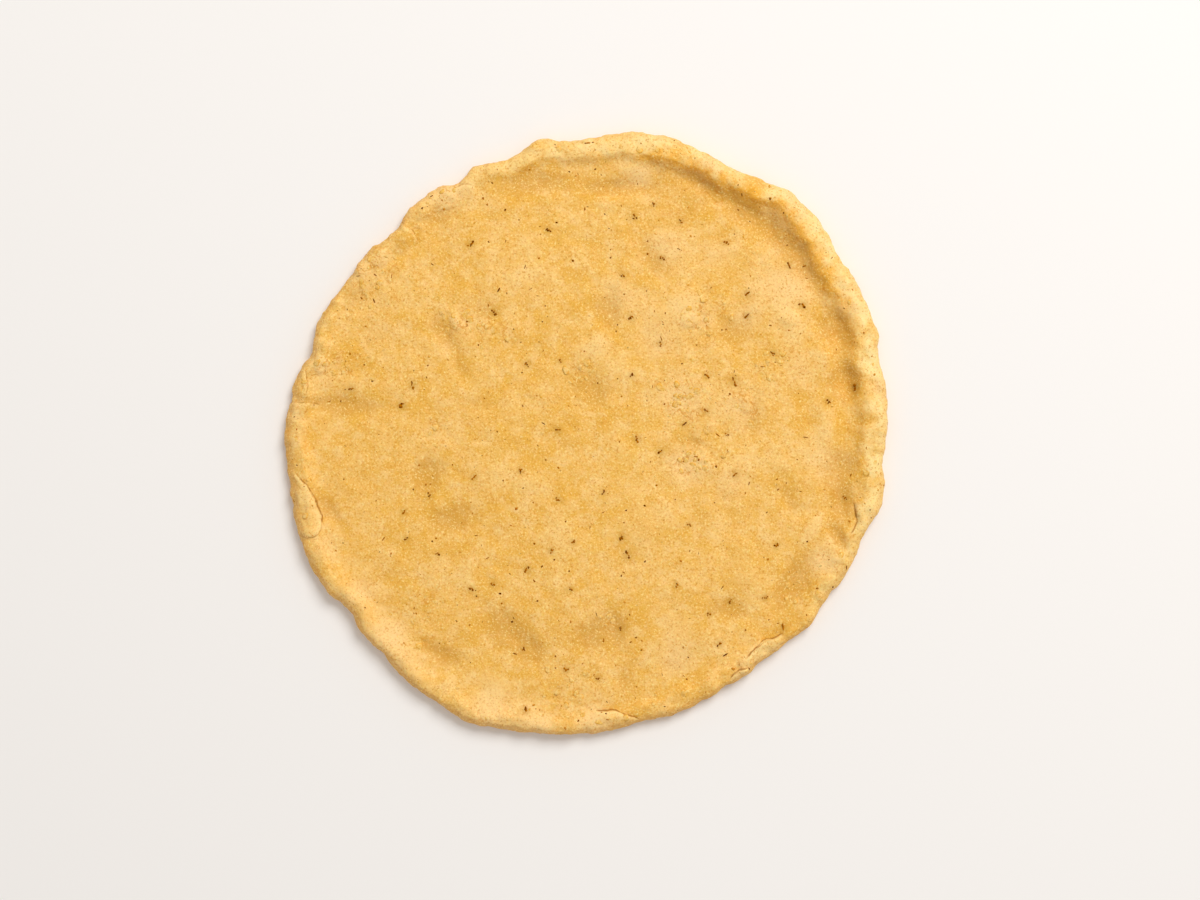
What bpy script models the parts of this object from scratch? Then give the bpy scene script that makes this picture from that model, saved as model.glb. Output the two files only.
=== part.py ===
"""Raw almond flour pizza crust, pressed out by hand into a round with a pinched rim.

The crust is one solid. Its top is a triangle grid of rings round the middle: the inner rings are
the floor, the outer ones climb over the rim and down the rounded edge to the flat underside.
The herb flakes kneaded into the dough stand out of the floor a little and are fused to it.
The origin is the middle of the underside, +Z is up, and turns count anticlockwise from +X.
"""

import math
import random

import bmesh
import bpy
import numpy as np
from mathutils import Matrix, Vector, noise

MM = 0.001

# Driving sizes, in metres
MEAN_RADIUS = 0.1290
FLOOR_THICKNESS = 0.0064
EDGE_TUCK = 0.0016  # how far the edge draws in again where it meets the ground
BELLY_SHARE = 0.42  # height of the widest point of the edge, as a share of the rim's height
FOOT_RUNOUT = 1.8  # above 1, the rim's inner slope runs out more slowly into the floor

# The outline: a round that is shifted and stretched a little, in metres and degrees
SHIFT_REACH = 0.0014
OVAL_REACH = 0.0048
OVAL_TURN = 48

# Lobes and notches of the outline: turn and half width in degrees, reach outwards in millimetres
OUTLINE_LOBES = (
    (14, 5, -1.6),
    (20, 6, 0.8),
    (35, 5, -1.2),
    (45, 11, 1.8),
    (50, 4, 1.2),
    (62, 12, -2.8),
    (76, 8, 1.0),
    (82, 4, 0.6),
    (92, 8, -2.0),
    (99, 5, 1.6),
    (106, 7, -2.6),
    (117, 4, -2.4),
    (126, 6, 0.6),
    (134, 7, -2.6),
    (157, 8, 1.8),
    (163, 4, -0.8),
    (170, 7, 3.0),
    (176, 3, 1.4),
    (180, 9, 3.7),
    (187, 4, 1.5),
    (192, 7, 1.4),
    (197, 5, 1.2),
    (203, 9, 1.7),
    (217, 6, -4.4),
    (226, 10, -3.2),
    (248, 9, 2.6),
    (257, 7, 1.0),
    (263, 5, 0.6),
    (269, 8, 0.6),
    (280, 6, -0.8),
    (286, 4, 0.5),
    (299, 4, -0.8),
    (307, 4, -0.8),
    (320, 7, 2.4),
    (329, 4, 0.8),
    (335, 12, 1.6),
    (347, 9, 3.6),
)

FOOT_LOBES = 9  # the rim's inner foot follows the lobes that are at least this wide

# The rim round the crust: turn in degrees, then in millimetres the height of its crest, its
# width from the outline to its inner foot, and how far its crest lies inside the outline, and
# last how square its outer roll is: 2 makes it part of an ellipse, and more makes it squarer
RIM_STATIONS = (
    (0, 9.6, 19.0, 7.4, 2.8),
    (15, 9.5, 21.5, 9.0, 2.8),
    (33, 10.5, 21.0, 9.2, 2.8),
    (50, 11.6, 20.0, 7.6, 2.8),
    (64, 11.4, 17.0, 7.2, 2.8),
    (75, 10.8, 16.5, 8.6, 2.8),
    (86, 8.7, 15.5, 7.8, 2.6),
    (98, 8.2, 15.0, 7.4, 2.4),
    (112, 7.8, 16.0, 5.2, 2.4),
    (130, 7.6, 16.0, 5.2, 2.4),
    (150, 7.6, 14.0, 5.0, 2.4),
    (165, 8.2, 14.0, 6.0, 2.1),
    (180, 9.4, 13.5, 7.6, 1.8),
    (194, 9.6, 16.0, 7.6, 1.8),
    (208, 9.3, 18.0, 6.2, 1.9),
    (228, 9.3, 18.5, 5.0, 2.0),
    (250, 9.2, 18.0, 5.0, 2.0),
    (264, 9.0, 16.0, 4.8, 2.0),
    (276, 8.5, 13.0, 5.2, 2.0),
    (288, 8.4, 14.5, 7.0, 2.0),
    (312, 8.0, 13.0, 5.4, 2.6),
    (334, 8.6, 15.0, 6.4, 2.8),
    (348, 8.6, 17.0, 8.0, 2.8),
)
RIM_LUMP_SIZE = 0.012
RIM_LUMPS = (0.0009, 0.0022, 0.0017)  # how far its height, width and inset stray from these

# Finger dents and the low swells between them, in millimetres and degrees from the middle:
# place in x and y, half length, half width, turn of the length, and lift (a dent's is below 0)
FINGER_MARKS = (
    (10.6, 52.7, 9, 5, 90, -1.2),
    (15.0, 106.8, 13, 3.5, 4, -1.8),
    (21.4, 114.5, 11, 3.5, 0, 0.7),
    (12.8, 99.0, 8, 3.5, 0, 0.7),
    (-60.8, 42.7, 9, 3.5, -55, -1.0),
    (-54.0, 27.5, 8, 3.5, -75, -0.9),
    (-57.5, 50.4, 8, 3.5, -58, 0.6),
    (-41.4, 53.5, 7, 7, 0, -0.9),
    (-106.0, 12.4, 14, 4.5, 0, -1.3),
    (-96.0, 21.0, 14, 5, 0, 0.6),
    (-45.7, 12.4, 9, 5, 0, -0.9),
    (-69.5, -17.9, 7, 7, 0, -1.4),
    (-60.8, -37.4, 8, 6, 20, -1.1),
    (-63.0, -5.0, 5, 5, 0, 0.6),
    (-28.4, -89.4, 16, 6, -38, -1.5),
    (0.0, -89.4, 7, 6, 0, -1.2),
    (12.3, -82.9, 8, 5, 90, -1.3),
    (17.1, -106.7, 7, 5, 60, -1.0),
    (4.1, 18.9, 10, 9, 0, -0.9),
    (48.3, -7.1, 6, 2.4, -60, -1.2),
    (52.0, -13.0, 7, 3, -45, 0.8),
    (-108.9, -35.2, 7, 2.8, -60, -1.2),
    (-99.8, 57.8, 8, 6, 0, -0.9),
    (-104.5, 71.0, 8, 4, 55, 0.6),
    (90.7, -63.4, 12, 5, 55, -1.9),
    (109.0, 44.9, 8, 6, 112, -2.9),
    (112.0, 21.9, 7, 5.5, 100, -2.8),
    (109.5, -15.8, 7, 5, 80, -1.8),
    (110.5, -28.8, 6, 4, 80, -1.6),
    (108.5, -43.9, 6, 2.8, -60, -1.8),
    (104.0, 33.0, 7, 4, 100, 0.9),
    (104.0, 2.0, 9, 4, 90, 0.8),
    (97.0, -42.0, 8, 4, 60, 0.8),
    (73.4, 92.0, 17, 6, -42, -1.3),
    (95.0, 74.0, 13, 5, -55, -1.2),
    (49.6, 110.0, 8, 4, -22, -1.2),
    (46.0, 99.0, 7, 5, 0, -0.8),
    (88.5, -28.8, 12, 4, -60, -0.9),
    (28.0, 77.0, 12, 5, -60, -0.9),
    (66.9, 44.9, 9, 6, 0, -0.8),
    (64.7, -76.4, 7, 5, 0, -1.1),
    (-62.0, -95.5, 11, 4, -22, -1.2),
    (-82.5, -78.5, 7, 6, 0, -0.8),
    (-88.0, -62.0, 9, 5, -50, -0.7),
    (-80.3, 81.7, 7, 6, 0, -0.9),
    (-63.0, 94.6, 9, 5, 20, -1.0),
    (-24.0, 108.0, 14, 5, 10, -1.0),
    (88.5, 47.0, 8, 9, 0, 1.0),
    (69.0, -61.2, 9, 8, 0, 0.8),
    (45.2, 55.7, 8, 6, 0, 0.7),
    (6.3, 38.4, 7, 6, 0, 0.6),
    (30.0, -40.0, 12, 7, 30, 0.5),
    (-30.0, -20.0, 12, 8, -30, 0.5),
    (-20.0, 70.0, 14, 7, 20, 0.5),
    (72.0, 4.0, 9, 4, -75, -0.8),
    (60.0, -30.0, 10, 4, -70, -0.7),
    (40.0, -100.0, 10, 5, 10, -0.8),
)

# Laps where the edge was folded over and pressed down, in millimetres: the two ends of each
# crease, how far it bows to the right of the way from start to end, and the step up to the flap,
# which lies to the left of that way
LAPS = (
    (-113.3, -38.7, -124.6, -17.3, 1.8, 1.6),
    (-122.8, -44.4, -113.8, -39.6, 2.8, 1.0),
    (22.7, -122.4, 5.0, -119.6, 1.0, 1.5),
    (-4.0, -118.0, -17.0, -115.5, 0.8, 0.6),
    (116.0, -30.5, 115.0, -43.0, -1.2, 1.2),
    (-72.0, 84.0, -79.5, 91.5, 0.8, 1.0),
    (-48.5, 107.5, -56.5, 106.5, 0.7, 0.9),
    (-119.9, 17.0, -121.0, 27.0, 0.6, 1.0),
    (-115.5, 12.4, -128.0, 13.4, 0.5, 1.0),
    (85.0, -86.5, 69.5, -97.0, 1.8, 1.8),
    (70.0, -101.0, 62.5, -105.5, 0.8, 1.2),
)
LAP_RUNOUT = 5.5 * MM  # how far behind its crease a flap's step fades away
LAP_SOFTNESS = 0.9 * MM
LAP_WANDER = 0.9 * MM  # how far a crease strays from straight, in bends of the next size
LAP_BEND = 5.0 * MM

# Lumps that broke off and were pressed on again: place in x and y, half length and half width in
# millimetres, turn in degrees, and height in millimetres
CHUNKS = (
    (75.0, -94.3, 5.2, 4.2, 40, 0.9),
    (82.0, -90.2, 3.8, 3.0, 30, 0.8),
    (68.9, -99.3, 3.8, 3.0, 80, 0.9),
    (67.3, -104.1, 4.0, 2.6, 30, 1.0),
    (-104.0, 92.0, 3.4, 2.8, 60, 0.6),
    (-114.0, 30.0, 4.0, 2.8, 80, 0.7),
    (-88.0, 76.0, 4.2, 3.0, 40, 0.6),
    (-60.0, 101.0, 4.0, 3.0, 20, 0.7),
    (45.2, 49.2, 4.0, 2.8, 30, 0.6),
    (49.6, -9.3, 4.2, 2.6, -60, 0.8),
    (54.5, 2.5, 3.0, 2.4, 0, 0.5),
    (69.1, 12.4, 3.6, 2.6, 70, 0.7),
    (88.5, 49.2, 3.8, 3.0, 20, 0.6),
    (10.6, 14.5, 3.2, 2.2, 50, 0.5),
    (-56.0, 48.0, 3.4, 2.2, -50, 0.6),
    (-40.0, -60.0, 3.0, 2.2, 10, 0.4),
)
CHUNK_SOFTNESS = 0.16  # of the step round a chunk, as a share of its half size

# Unevenness that fingers leave everywhere: size of its waves and height, in metres
WAVES = ((0.024, 0.00055), (0.011, 0.00042), (0.0065, 0.00018))

# The grid of the top
RINGS = 36
FLOOR_RINGS_SHARE = 0.66
INNER_SLOPE_SHARE = 0.40  # of the rings that are left, those between the floor and the crest

# Herb flakes that catch the eye: place in x and y, length and width in millimetres, turn in degrees
LARGE_FLAKES = (
    (-79.2, 12.3, 3.4, 1.8, 50),
    (-74.8, 20.6, 3.8, 1.2, -80),
    (-49.5, 82.0, 3.6, 1.4, 48),
    (-39.2, 52.1, 2.6, 1.8, -30),
    (-16.0, 88.0, 2.4, 1.8, 0),
    (21.0, 93.6, 2.8, 1.6, -50),
    (60.8, 82.5, 2.6, 1.6, -60),
    (88.1, 72.6, 3.0, 1.0, -70),
    (93.6, 55.5, 3.0, 1.6, -50),
    (70.1, 60.6, 3.0, 1.1, 35),
    (81.1, 34.9, 2.6, 1.3, -40),
    (32.3, 38.8, 2.6, 1.1, 80),
    (64.2, 22.8, 4.8, 1.0, -68),
    (116.7, 19.7, 3.4, 2.0, -60),
    (112.5, -27.9, 2.6, 1.3, -25),
    (20.1, 25.1, 2.4, 1.2, 50),
    (32.1, -7.9, 2.8, 1.2, 30),
    (-11.8, 1.6, 3.0, 0.9, 0),
    (-11.8, -28.5, 2.4, 1.2, -35),
    (15.5, -45.2, 2.4, 2.0, 40),
    (18.1, -52.5, 3.4, 1.4, -65),
    (82.7, -48.2, 2.4, 1.5, -10),
    (39.5, -65.8, 2.2, 1.6, -60),
    (53.4, -78.1, 2.6, 1.3, 30),
    (85.5, -84.2, 6.0, 1.4, -78),
    (-27.1, -93.2, 2.4, 1.6, 70),
    (-49.3, -67.2, 2.4, 1.2, -40),
    (-78.6, -33.9, 2.4, 1.2, 50),
    (-25.7, -119.4, 3.0, 1.3, 70),
)

# The other flakes, in metres, spread over the floor by a seeded draw
SPREAD_FLAKES = 34
FLAKE_LENGTH = (0.0018, 0.0030)
FLAKE_WIDTH = (0.0009, 0.0014)
FLAKE_HEIGHT = 0.0010
FLAKE_SINK = 0.0001  # depth of a flake's middle under the dough's surface
FLAKE_SPACING = 0.0095
FLAKE_SPREAD = 0.108  # radius of the floor that they lie in
FLAKE_SEED = 11

DOUGH_COLOUR = (0.86, 0.50, 0.14, 1.0)
HERB_COLOUR = (0.075, 0.055, 0.018, 1.0)


def clear_scene():
    for obj in list(bpy.data.objects):
        bpy.data.objects.remove(obj)


def make_material(name, colour, roughness):
    material = bpy.data.materials.new(name)
    material.use_nodes = True
    shader = material.node_tree.nodes["Principled BSDF"]
    shader.inputs["Base Color"].default_value = colour
    shader.inputs["Roughness"].default_value = roughness
    shader.inputs["Metallic"].default_value = 0.0
    material.diffuse_color = colour
    return material


def smooth(share):
    """Runs from 0 to 1 with level ends as share does."""
    share = np.clip(share, 0.0, 1.0)
    return share * share * (3 - 2 * share)


def outline_radius(turn, narrowest=0):
    """Distance from the middle to the widest point of the edge, for an array of turns. Lobes with
    less than the narrowest half width are left out."""
    radius = MEAN_RADIUS + SHIFT_REACH * np.cos(np.radians(turn))
    radius += OVAL_REACH * np.cos(2 * np.radians(turn - OVAL_TURN))
    for centre, half_width, reach in OUTLINE_LOBES:
        if half_width >= narrowest:
            away = np.abs((turn - centre + 180) % 360 - 180)
            radius += reach * MM * smooth(1 - away / half_width)
    return radius


def rim_sizes(turn):
    """Height, width and crest inset of the rim, in metres, and the squareness of its outer roll,
    eased from station to station. The first three are made uneven, as pinching leaves them."""
    stations = np.array(RIM_STATIONS)
    closed = np.vstack([stations, stations[0] + (360, 0, 0, 0, 0)])
    turn = turn % 360
    after = np.searchsorted(closed[:, 0], turn, side="right").clip(1, len(closed) - 1)
    start, end = closed[after - 1], closed[after]
    share = smooth((turn - start[:, 0]) / (end[:, 0] - start[:, 0]))
    sizes = start[:, 1:] + (end - start)[:, 1:] * share[:, None]
    sizes[:, :3] *= MM
    reach = MEAN_RADIUS / RIM_LUMP_SIZE
    rounds = [Vector((math.cos(t), math.sin(t), 0)) * reach for t in np.radians(turn)]
    for number, lump in enumerate(RIM_LUMPS):
        apart = Vector((0, 0, 40.0 * (number + 1)))
        sizes[:, number] += lump * np.array([noise.noise(place + apart) for place in rounds])
    return sizes.T


def waviness(x, y):
    """Soft unevenness of pressed dough, from smooth noise of several sizes."""
    lift = np.zeros(len(x))
    for layer, (size, height) in enumerate(WAVES):
        for i, (px, py) in enumerate(zip(x, y)):
            lift[i] += height * noise.noise(Vector((px / size, py / size, 7.3 * layer)))
    return lift


def finger_marks(x, y):
    lift = np.zeros(len(x))
    for mark_x, mark_y, length, width, turn, height in FINGER_MARKS:
        across_x, across_y = x - mark_x * MM, y - mark_y * MM
        cosine, sine = math.cos(math.radians(turn)), math.sin(math.radians(turn))
        along = (across_x * cosine + across_y * sine) / (length * MM)
        across = (across_y * cosine - across_x * sine) / (width * MM)
        lift += height * MM * np.exp(-(along**2 + across**2))
    return lift


def stray(x, y):
    """How far creases wander from their lines at each point, in metres."""
    bends = zip(x / LAP_BEND, y / LAP_BEND)
    return LAP_WANDER * np.array([noise.noise(Vector((bx, by, 17.0))) for bx, by in bends])


def lap_places(x, y):
    """For each lap its step, and for each point the place along its crease, from 0 at its start to
    1 at its end, and how far the point lies to the left of it, in metres."""
    wandering = stray(x, y)
    for start_x, start_y, end_x, end_y, bow, step in LAPS:
        run = np.array((end_x - start_x, end_y - start_y)) * MM
        length = math.hypot(*run)
        along_x, along_y = run / length
        off_x, off_y = x - start_x * MM, y - start_y * MM
        along = (off_x * along_x + off_y * along_y) / length
        bowed = 4 * bow * MM * along * (1 - along)
        yield step * MM, along, off_y * along_x - off_x * along_y + bowed + wandering


def laps(x, y, softness=LAP_SOFTNESS):
    """Steps of folded dough: the flap's lip stands up, and the crease beside it dips."""
    lift = np.zeros(len(x))
    for step, along, left in lap_places(x, y):
        ends = smooth(2 * (0.75 - np.abs(along - 0.5)))
        side = 0.5 * (1 + np.tanh(left / softness))
        lip = side * np.exp(-np.clip(left, 0, None) / LAP_RUNOUT)
        dip = (1 - side) * np.exp(-np.clip(-left, 0, None) / (0.5 * LAP_RUNOUT))
        lift += step * ends * (0.6 * lip - 0.4 * dip)
    return lift


def chunk_places(x, y):
    """For each chunk its height, and how far each point is from its middle, where 1 is its edge."""
    wandering = stray(x, y)
    for chunk_x, chunk_y, length, width, turn, height in CHUNKS:
        across_x, across_y = x - chunk_x * MM, y - chunk_y * MM
        cosine, sine = math.cos(math.radians(turn)), math.sin(math.radians(turn))
        along = (across_x * cosine + across_y * sine) / (length * MM)
        across = (across_y * cosine - across_x * sine) / (width * MM)
        yield height * MM, np.hypot(along, across) + wandering / (width * MM)


def chunks(x, y):
    lift = np.zeros(len(x))
    for height, away in chunk_places(x, y):
        lift += height * 0.5 * (1 - np.tanh((away - 1) / CHUNK_SOFTNESS))
    return lift


def relief(x, y):
    return finger_marks(x, y) + laps(x, y) + chunks(x, y) + waviness(x, y)


def rim_profile(share, height, width, inset, squareness):
    """One section through the rim: how far inside the outline, and how high, for shares from 0 at
    the inner foot to 1 on the ground, with how much of the floor's relief it carries."""
    climb = np.clip(share / INNER_SLOPE_SHARE, 0, 1)
    roll = np.pi * np.clip((share - INNER_SLOPE_SHARE) / (1 - INNER_SLOPE_SHARE), 0, 1)
    belly = BELLY_SHARE * height
    upper = roll < np.pi / 2
    outwards = np.sin(roll) ** (2 / squareness)
    upwards = np.sign(np.cos(roll)) * np.abs(np.cos(roll)) ** (2 / squareness)
    inside = np.where(upper, inset, EDGE_TUCK) * (1 - outwards)
    inside = np.where(climb < 1, width + (inset - width) * climb, inside)
    over = belly + np.where(upper, height - belly, belly) * upwards
    climbing = FLOOR_THICKNESS + (height - FLOOR_THICKNESS) * smooth(climb**FOOT_RUNOUT)
    carries = np.clip(upwards, 0, 1)
    return inside, np.where(climb < 1, climbing, over), carries


def top_surface(share, turn, floor_share):
    """Points of the top for shares from 0 in the middle to 1 where the edge meets the ground. The
    floor takes the shares up to floor_share, and the rim the rest."""
    height, width, inset, squareness = rim_sizes(turn)
    on_floor = share <= floor_share
    rim_share = np.clip((share - floor_share) / (1 - floor_share), 0, 1)
    inside, rim_z, carries = rim_profile(rim_share, height, width, inset, squareness)
    foot = outline_radius(turn, narrowest=FOOT_LOBES) - width
    follows = smooth(rim_share / INNER_SLOPE_SHARE)
    outline = (foot + width) * (1 - follows) + outline_radius(turn) * follows
    radius = np.where(on_floor, foot * share / floor_share, outline - inside)
    x, y = radius * np.cos(np.radians(turn)), radius * np.sin(np.radians(turn))
    z = np.where(on_floor, FLOOR_THICKNESS, rim_z) + carries * relief(x, y)
    return x, y, np.where(share >= 1, 0.0, z)


def hexagon_rings(x, y):
    """Ring number and turn of each point of a hexagon that is a regular grid of triangles."""
    polar = np.degrees(np.arctan2(y, x)) % 360
    sector = np.floor((polar + 1e-4) / 60)
    off_middle = np.radians(polar - 60 * sector - 30)
    ring = np.hypot(x, y) * np.cos(off_middle) / math.cos(math.radians(30))
    turn = 60 * (sector + 0.5 + np.tan(off_middle) * math.sqrt(3) / 2)
    return np.round(ring), turn % 360


def make_crust():
    """A hexagon cut into rings of triangles, laid over the crust's top and closed underneath."""
    bm = bmesh.new()
    bmesh.ops.create_circle(bm, cap_ends=True, cap_tris=True, segments=6, radius=RINGS)
    corner = max((vert.co for vert in bm.verts), key=lambda place: place.length)
    turned = Matrix.Rotation(-math.atan2(corner.y, corner.x), 3, "Z")
    bmesh.ops.rotate(bm, verts=bm.verts, matrix=turned)
    bmesh.ops.subdivide_edges(bm, edges=bm.edges[:], cuts=RINGS - 1, use_grid_fill=True)

    flat = np.array([vert.co for vert in bm.verts])
    ring, turn = hexagon_rings(flat[:, 0], flat[:, 1])
    x, y, z = top_surface(ring / RINGS, turn, FLOOR_RINGS_SHARE)
    middle_x, middle_y = (x.max() + x.min()) / 2, (y.max() + y.min()) / 2
    for vert, place in zip(bm.verts, zip(x - middle_x, y - middle_y, z)):
        vert.co = place

    edge = [e for e in bm.edges if e.is_boundary]
    bmesh.ops.contextual_create(bm, geom=edge)
    bmesh.ops.recalc_face_normals(bm, faces=bm.faces)
    mesh = bpy.data.meshes.new("crust")
    bm.to_mesh(mesh)
    bm.free()
    crust = bpy.data.objects.new("crust", mesh)
    bpy.context.collection.objects.link(crust)
    return crust


def flake_shapes():
    """Place, length, width and turn of every flake: the large ones, then others kept apart from
    them and from each other, in metres and radians."""
    shapes = []
    for x, y, length, width, turn in LARGE_FLAKES:
        shapes.append((Vector((x, y)) * MM, length * MM, width * MM, math.radians(turn)))
    draw = random.Random(FLAKE_SEED)
    while len(shapes) < len(LARGE_FLAKES) + SPREAD_FLAKES:
        radius = FLAKE_SPREAD * math.sqrt(draw.random())
        around = draw.uniform(0, 2 * math.pi)
        place = Vector((radius * math.cos(around), radius * math.sin(around)))
        if all((place - other[0]).length > FLAKE_SPACING for other in shapes):
            length, width = draw.uniform(*FLAKE_LENGTH), draw.uniform(*FLAKE_WIDTH)
            shapes.append((place, length, width, draw.uniform(0, math.pi)))
    return shapes


def make_flakes(crust, herb):
    """Low oval flakes, half sunk in the dough, in a collection of their own."""
    flakes = bpy.data.collections.new("flakes")
    bpy.context.scene.collection.children.link(flakes)
    for number, (place, length, width, turn) in enumerate(flake_shapes()):
        above = Vector((place.x, place.y, 1.0))
        _, surface, normal, _ = crust.ray_cast(above, Vector((0, 0, -1)))
        bm = bmesh.new()
        bmesh.ops.create_icosphere(bm, subdivisions=1, radius=0.5)
        bmesh.ops.scale(bm, verts=bm.verts, vec=(length, width, FLAKE_HEIGHT))
        mesh = bpy.data.meshes.new(f"flake_{number}")
        bm.to_mesh(mesh)
        bm.free()
        mesh.materials.append(herb)
        flake = bpy.data.objects.new(f"flake_{number}", mesh)
        lean = Vector((0, 0, 1)).rotation_difference(normal).to_matrix()
        flake.location = surface - normal * FLAKE_SINK
        flake.rotation_euler = (lean @ Matrix.Rotation(turn, 3, "Z")).to_euler()
        flakes.objects.link(flake)
    return flakes


def fuse(crust, flakes):
    """One Boolean union of the crust with all the flakes, applied, and the flakes removed."""
    union = crust.modifiers.new("flakes", "BOOLEAN")
    union.operation = "UNION"
    union.operand_type = "COLLECTION"
    union.collection = flakes
    union.solver = "EXACT"
    union.material_mode = "TRANSFER"
    bpy.context.view_layer.update()
    graph = bpy.context.evaluated_depsgraph_get()
    fused = bpy.data.meshes.new_from_object(crust.evaluated_get(graph))
    crust.modifiers.clear()
    crust.data = fused
    for flake in list(flakes.objects):
        bpy.data.objects.remove(flake)
    bpy.data.collections.remove(flakes)


def main():
    clear_scene()
    dough = make_material("raw_almond_dough", DOUGH_COLOUR, 0.75)
    herb = make_material("dried_herb", HERB_COLOUR, 0.85)
    crust = make_crust()
    crust.data.materials.append(dough)
    bpy.context.view_layer.update()
    fuse(crust, make_flakes(crust, herb))
    crust.data.shade_smooth()


main()
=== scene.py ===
"""Looks of the raw almond flour pizza crust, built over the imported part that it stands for.

The dough is rebuilt on a grid five times as fine as the part's, by the same sizes and functions,
with the lumps, cracks and grain that pressed almond dough has. The herb flakes, the almond bits
and the crumbs are meshes of their own at true size. Everything is in metres, with +Z up.
"""

import math
import random

import bmesh
import bpy
import numpy as np
from mathutils import Matrix, Vector, noise
from mathutils.bvhtree import BVHTree


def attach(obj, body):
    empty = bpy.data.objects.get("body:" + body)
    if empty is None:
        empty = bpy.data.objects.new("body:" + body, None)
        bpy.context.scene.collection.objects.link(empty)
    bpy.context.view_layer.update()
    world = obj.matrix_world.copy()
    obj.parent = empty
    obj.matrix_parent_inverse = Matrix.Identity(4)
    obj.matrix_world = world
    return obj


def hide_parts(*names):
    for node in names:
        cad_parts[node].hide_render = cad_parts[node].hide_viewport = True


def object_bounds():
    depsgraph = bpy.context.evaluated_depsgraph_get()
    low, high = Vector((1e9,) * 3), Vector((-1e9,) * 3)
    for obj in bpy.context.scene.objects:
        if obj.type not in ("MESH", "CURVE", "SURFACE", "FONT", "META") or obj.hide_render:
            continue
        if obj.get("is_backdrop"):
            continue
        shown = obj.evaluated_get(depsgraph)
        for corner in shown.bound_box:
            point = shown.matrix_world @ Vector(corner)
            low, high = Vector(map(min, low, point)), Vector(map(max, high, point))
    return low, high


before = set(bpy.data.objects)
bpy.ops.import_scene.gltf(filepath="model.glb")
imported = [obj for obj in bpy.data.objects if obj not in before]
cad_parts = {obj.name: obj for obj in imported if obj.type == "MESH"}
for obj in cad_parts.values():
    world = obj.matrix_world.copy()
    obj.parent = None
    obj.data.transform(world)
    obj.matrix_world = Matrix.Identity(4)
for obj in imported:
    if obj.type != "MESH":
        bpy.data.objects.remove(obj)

CAD_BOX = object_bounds()
NODE = "crust"
BODY = "root"

MM = 0.001

# Driving sizes, in metres
MEAN_RADIUS = 0.1290
FLOOR_THICKNESS = 0.0064
EDGE_TUCK = 0.0016  # how far the edge draws in again where it meets the ground
BELLY_SHARE = 0.42  # height of the widest point of the edge, as a share of the rim's height
FOOT_RUNOUT = 1.8  # above 1, the rim's inner slope runs out more slowly into the floor

# The outline: a round that is shifted and stretched a little, in metres and degrees
SHIFT_REACH = 0.0014
OVAL_REACH = 0.0048
OVAL_TURN = 48

# Lobes and notches of the outline: turn and half width in degrees, reach outwards in millimetres
OUTLINE_LOBES = (
    (14, 5, -1.6), (20, 6, 0.8), (35, 5, -1.2), (45, 11, 1.8), (50, 4, 1.2), (62, 12, -2.8),
    (76, 8, 1.0), (82, 4, 0.6), (92, 8, -2.0), (99, 5, 1.6), (106, 7, -2.6), (117, 4, -2.4),
    (126, 6, 0.6), (134, 7, -2.6), (157, 8, 1.8), (163, 4, -0.8), (170, 7, 3.0), (176, 3, 1.4),
    (180, 9, 3.7), (187, 4, 1.5), (192, 7, 1.4), (197, 5, 1.2), (203, 9, 1.7), (217, 6, -4.4),
    (226, 10, -3.2), (248, 9, 2.6), (257, 7, 1.0), (263, 5, 0.6), (269, 8, 0.6), (280, 6, -0.8),
    (286, 4, 0.5), (299, 4, -0.8), (307, 4, -0.8), (320, 7, 2.4), (329, 4, 0.8), (335, 12, 1.6),
    (347, 9, 3.6),
)

FOOT_LOBES = 9  # the rim's inner foot follows the lobes that are at least this wide

# The rim round the crust: turn in degrees, then in millimetres the height of its crest, its
# width from the outline to its inner foot, and how far its crest lies inside the outline, and
# last how square its outer roll is: 2 makes it part of an ellipse, and more makes it squarer
RIM_STATIONS = (
    (0, 9.6, 19.0, 7.4, 2.8), (15, 9.5, 21.5, 9.0, 2.8), (33, 10.5, 21.0, 9.2, 2.8),
    (50, 11.6, 20.0, 7.6, 2.8), (64, 11.4, 17.0, 7.2, 2.8), (75, 10.8, 16.5, 8.6, 2.8),
    (86, 8.7, 15.5, 7.8, 2.6), (98, 8.2, 15.0, 7.4, 2.4), (112, 7.8, 16.0, 5.2, 2.4),
    (130, 7.6, 16.0, 5.2, 2.4), (150, 7.6, 14.0, 5.0, 2.4), (165, 8.2, 14.0, 6.0, 2.1),
    (180, 9.4, 13.5, 7.6, 1.8), (194, 9.6, 16.0, 7.6, 1.8), (208, 9.3, 18.0, 6.2, 1.9),
    (228, 9.3, 18.5, 5.0, 2.0), (250, 9.2, 18.0, 5.0, 2.0), (264, 9.0, 16.0, 4.8, 2.0),
    (276, 8.5, 13.0, 5.2, 2.0), (288, 8.4, 14.5, 7.0, 2.0), (312, 8.0, 13.0, 5.4, 2.6),
    (334, 8.6, 15.0, 6.4, 2.8), (348, 8.6, 17.0, 8.0, 2.8),
)
RIM_LUMP_SIZE = 0.012
RIM_LUMPS = (0.0009, 0.0022, 0.0017)  # how far its height, width and inset stray from these
RIM_LUMPS_APART = 40.0  # in the noise, so that the three are unlike each other

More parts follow.
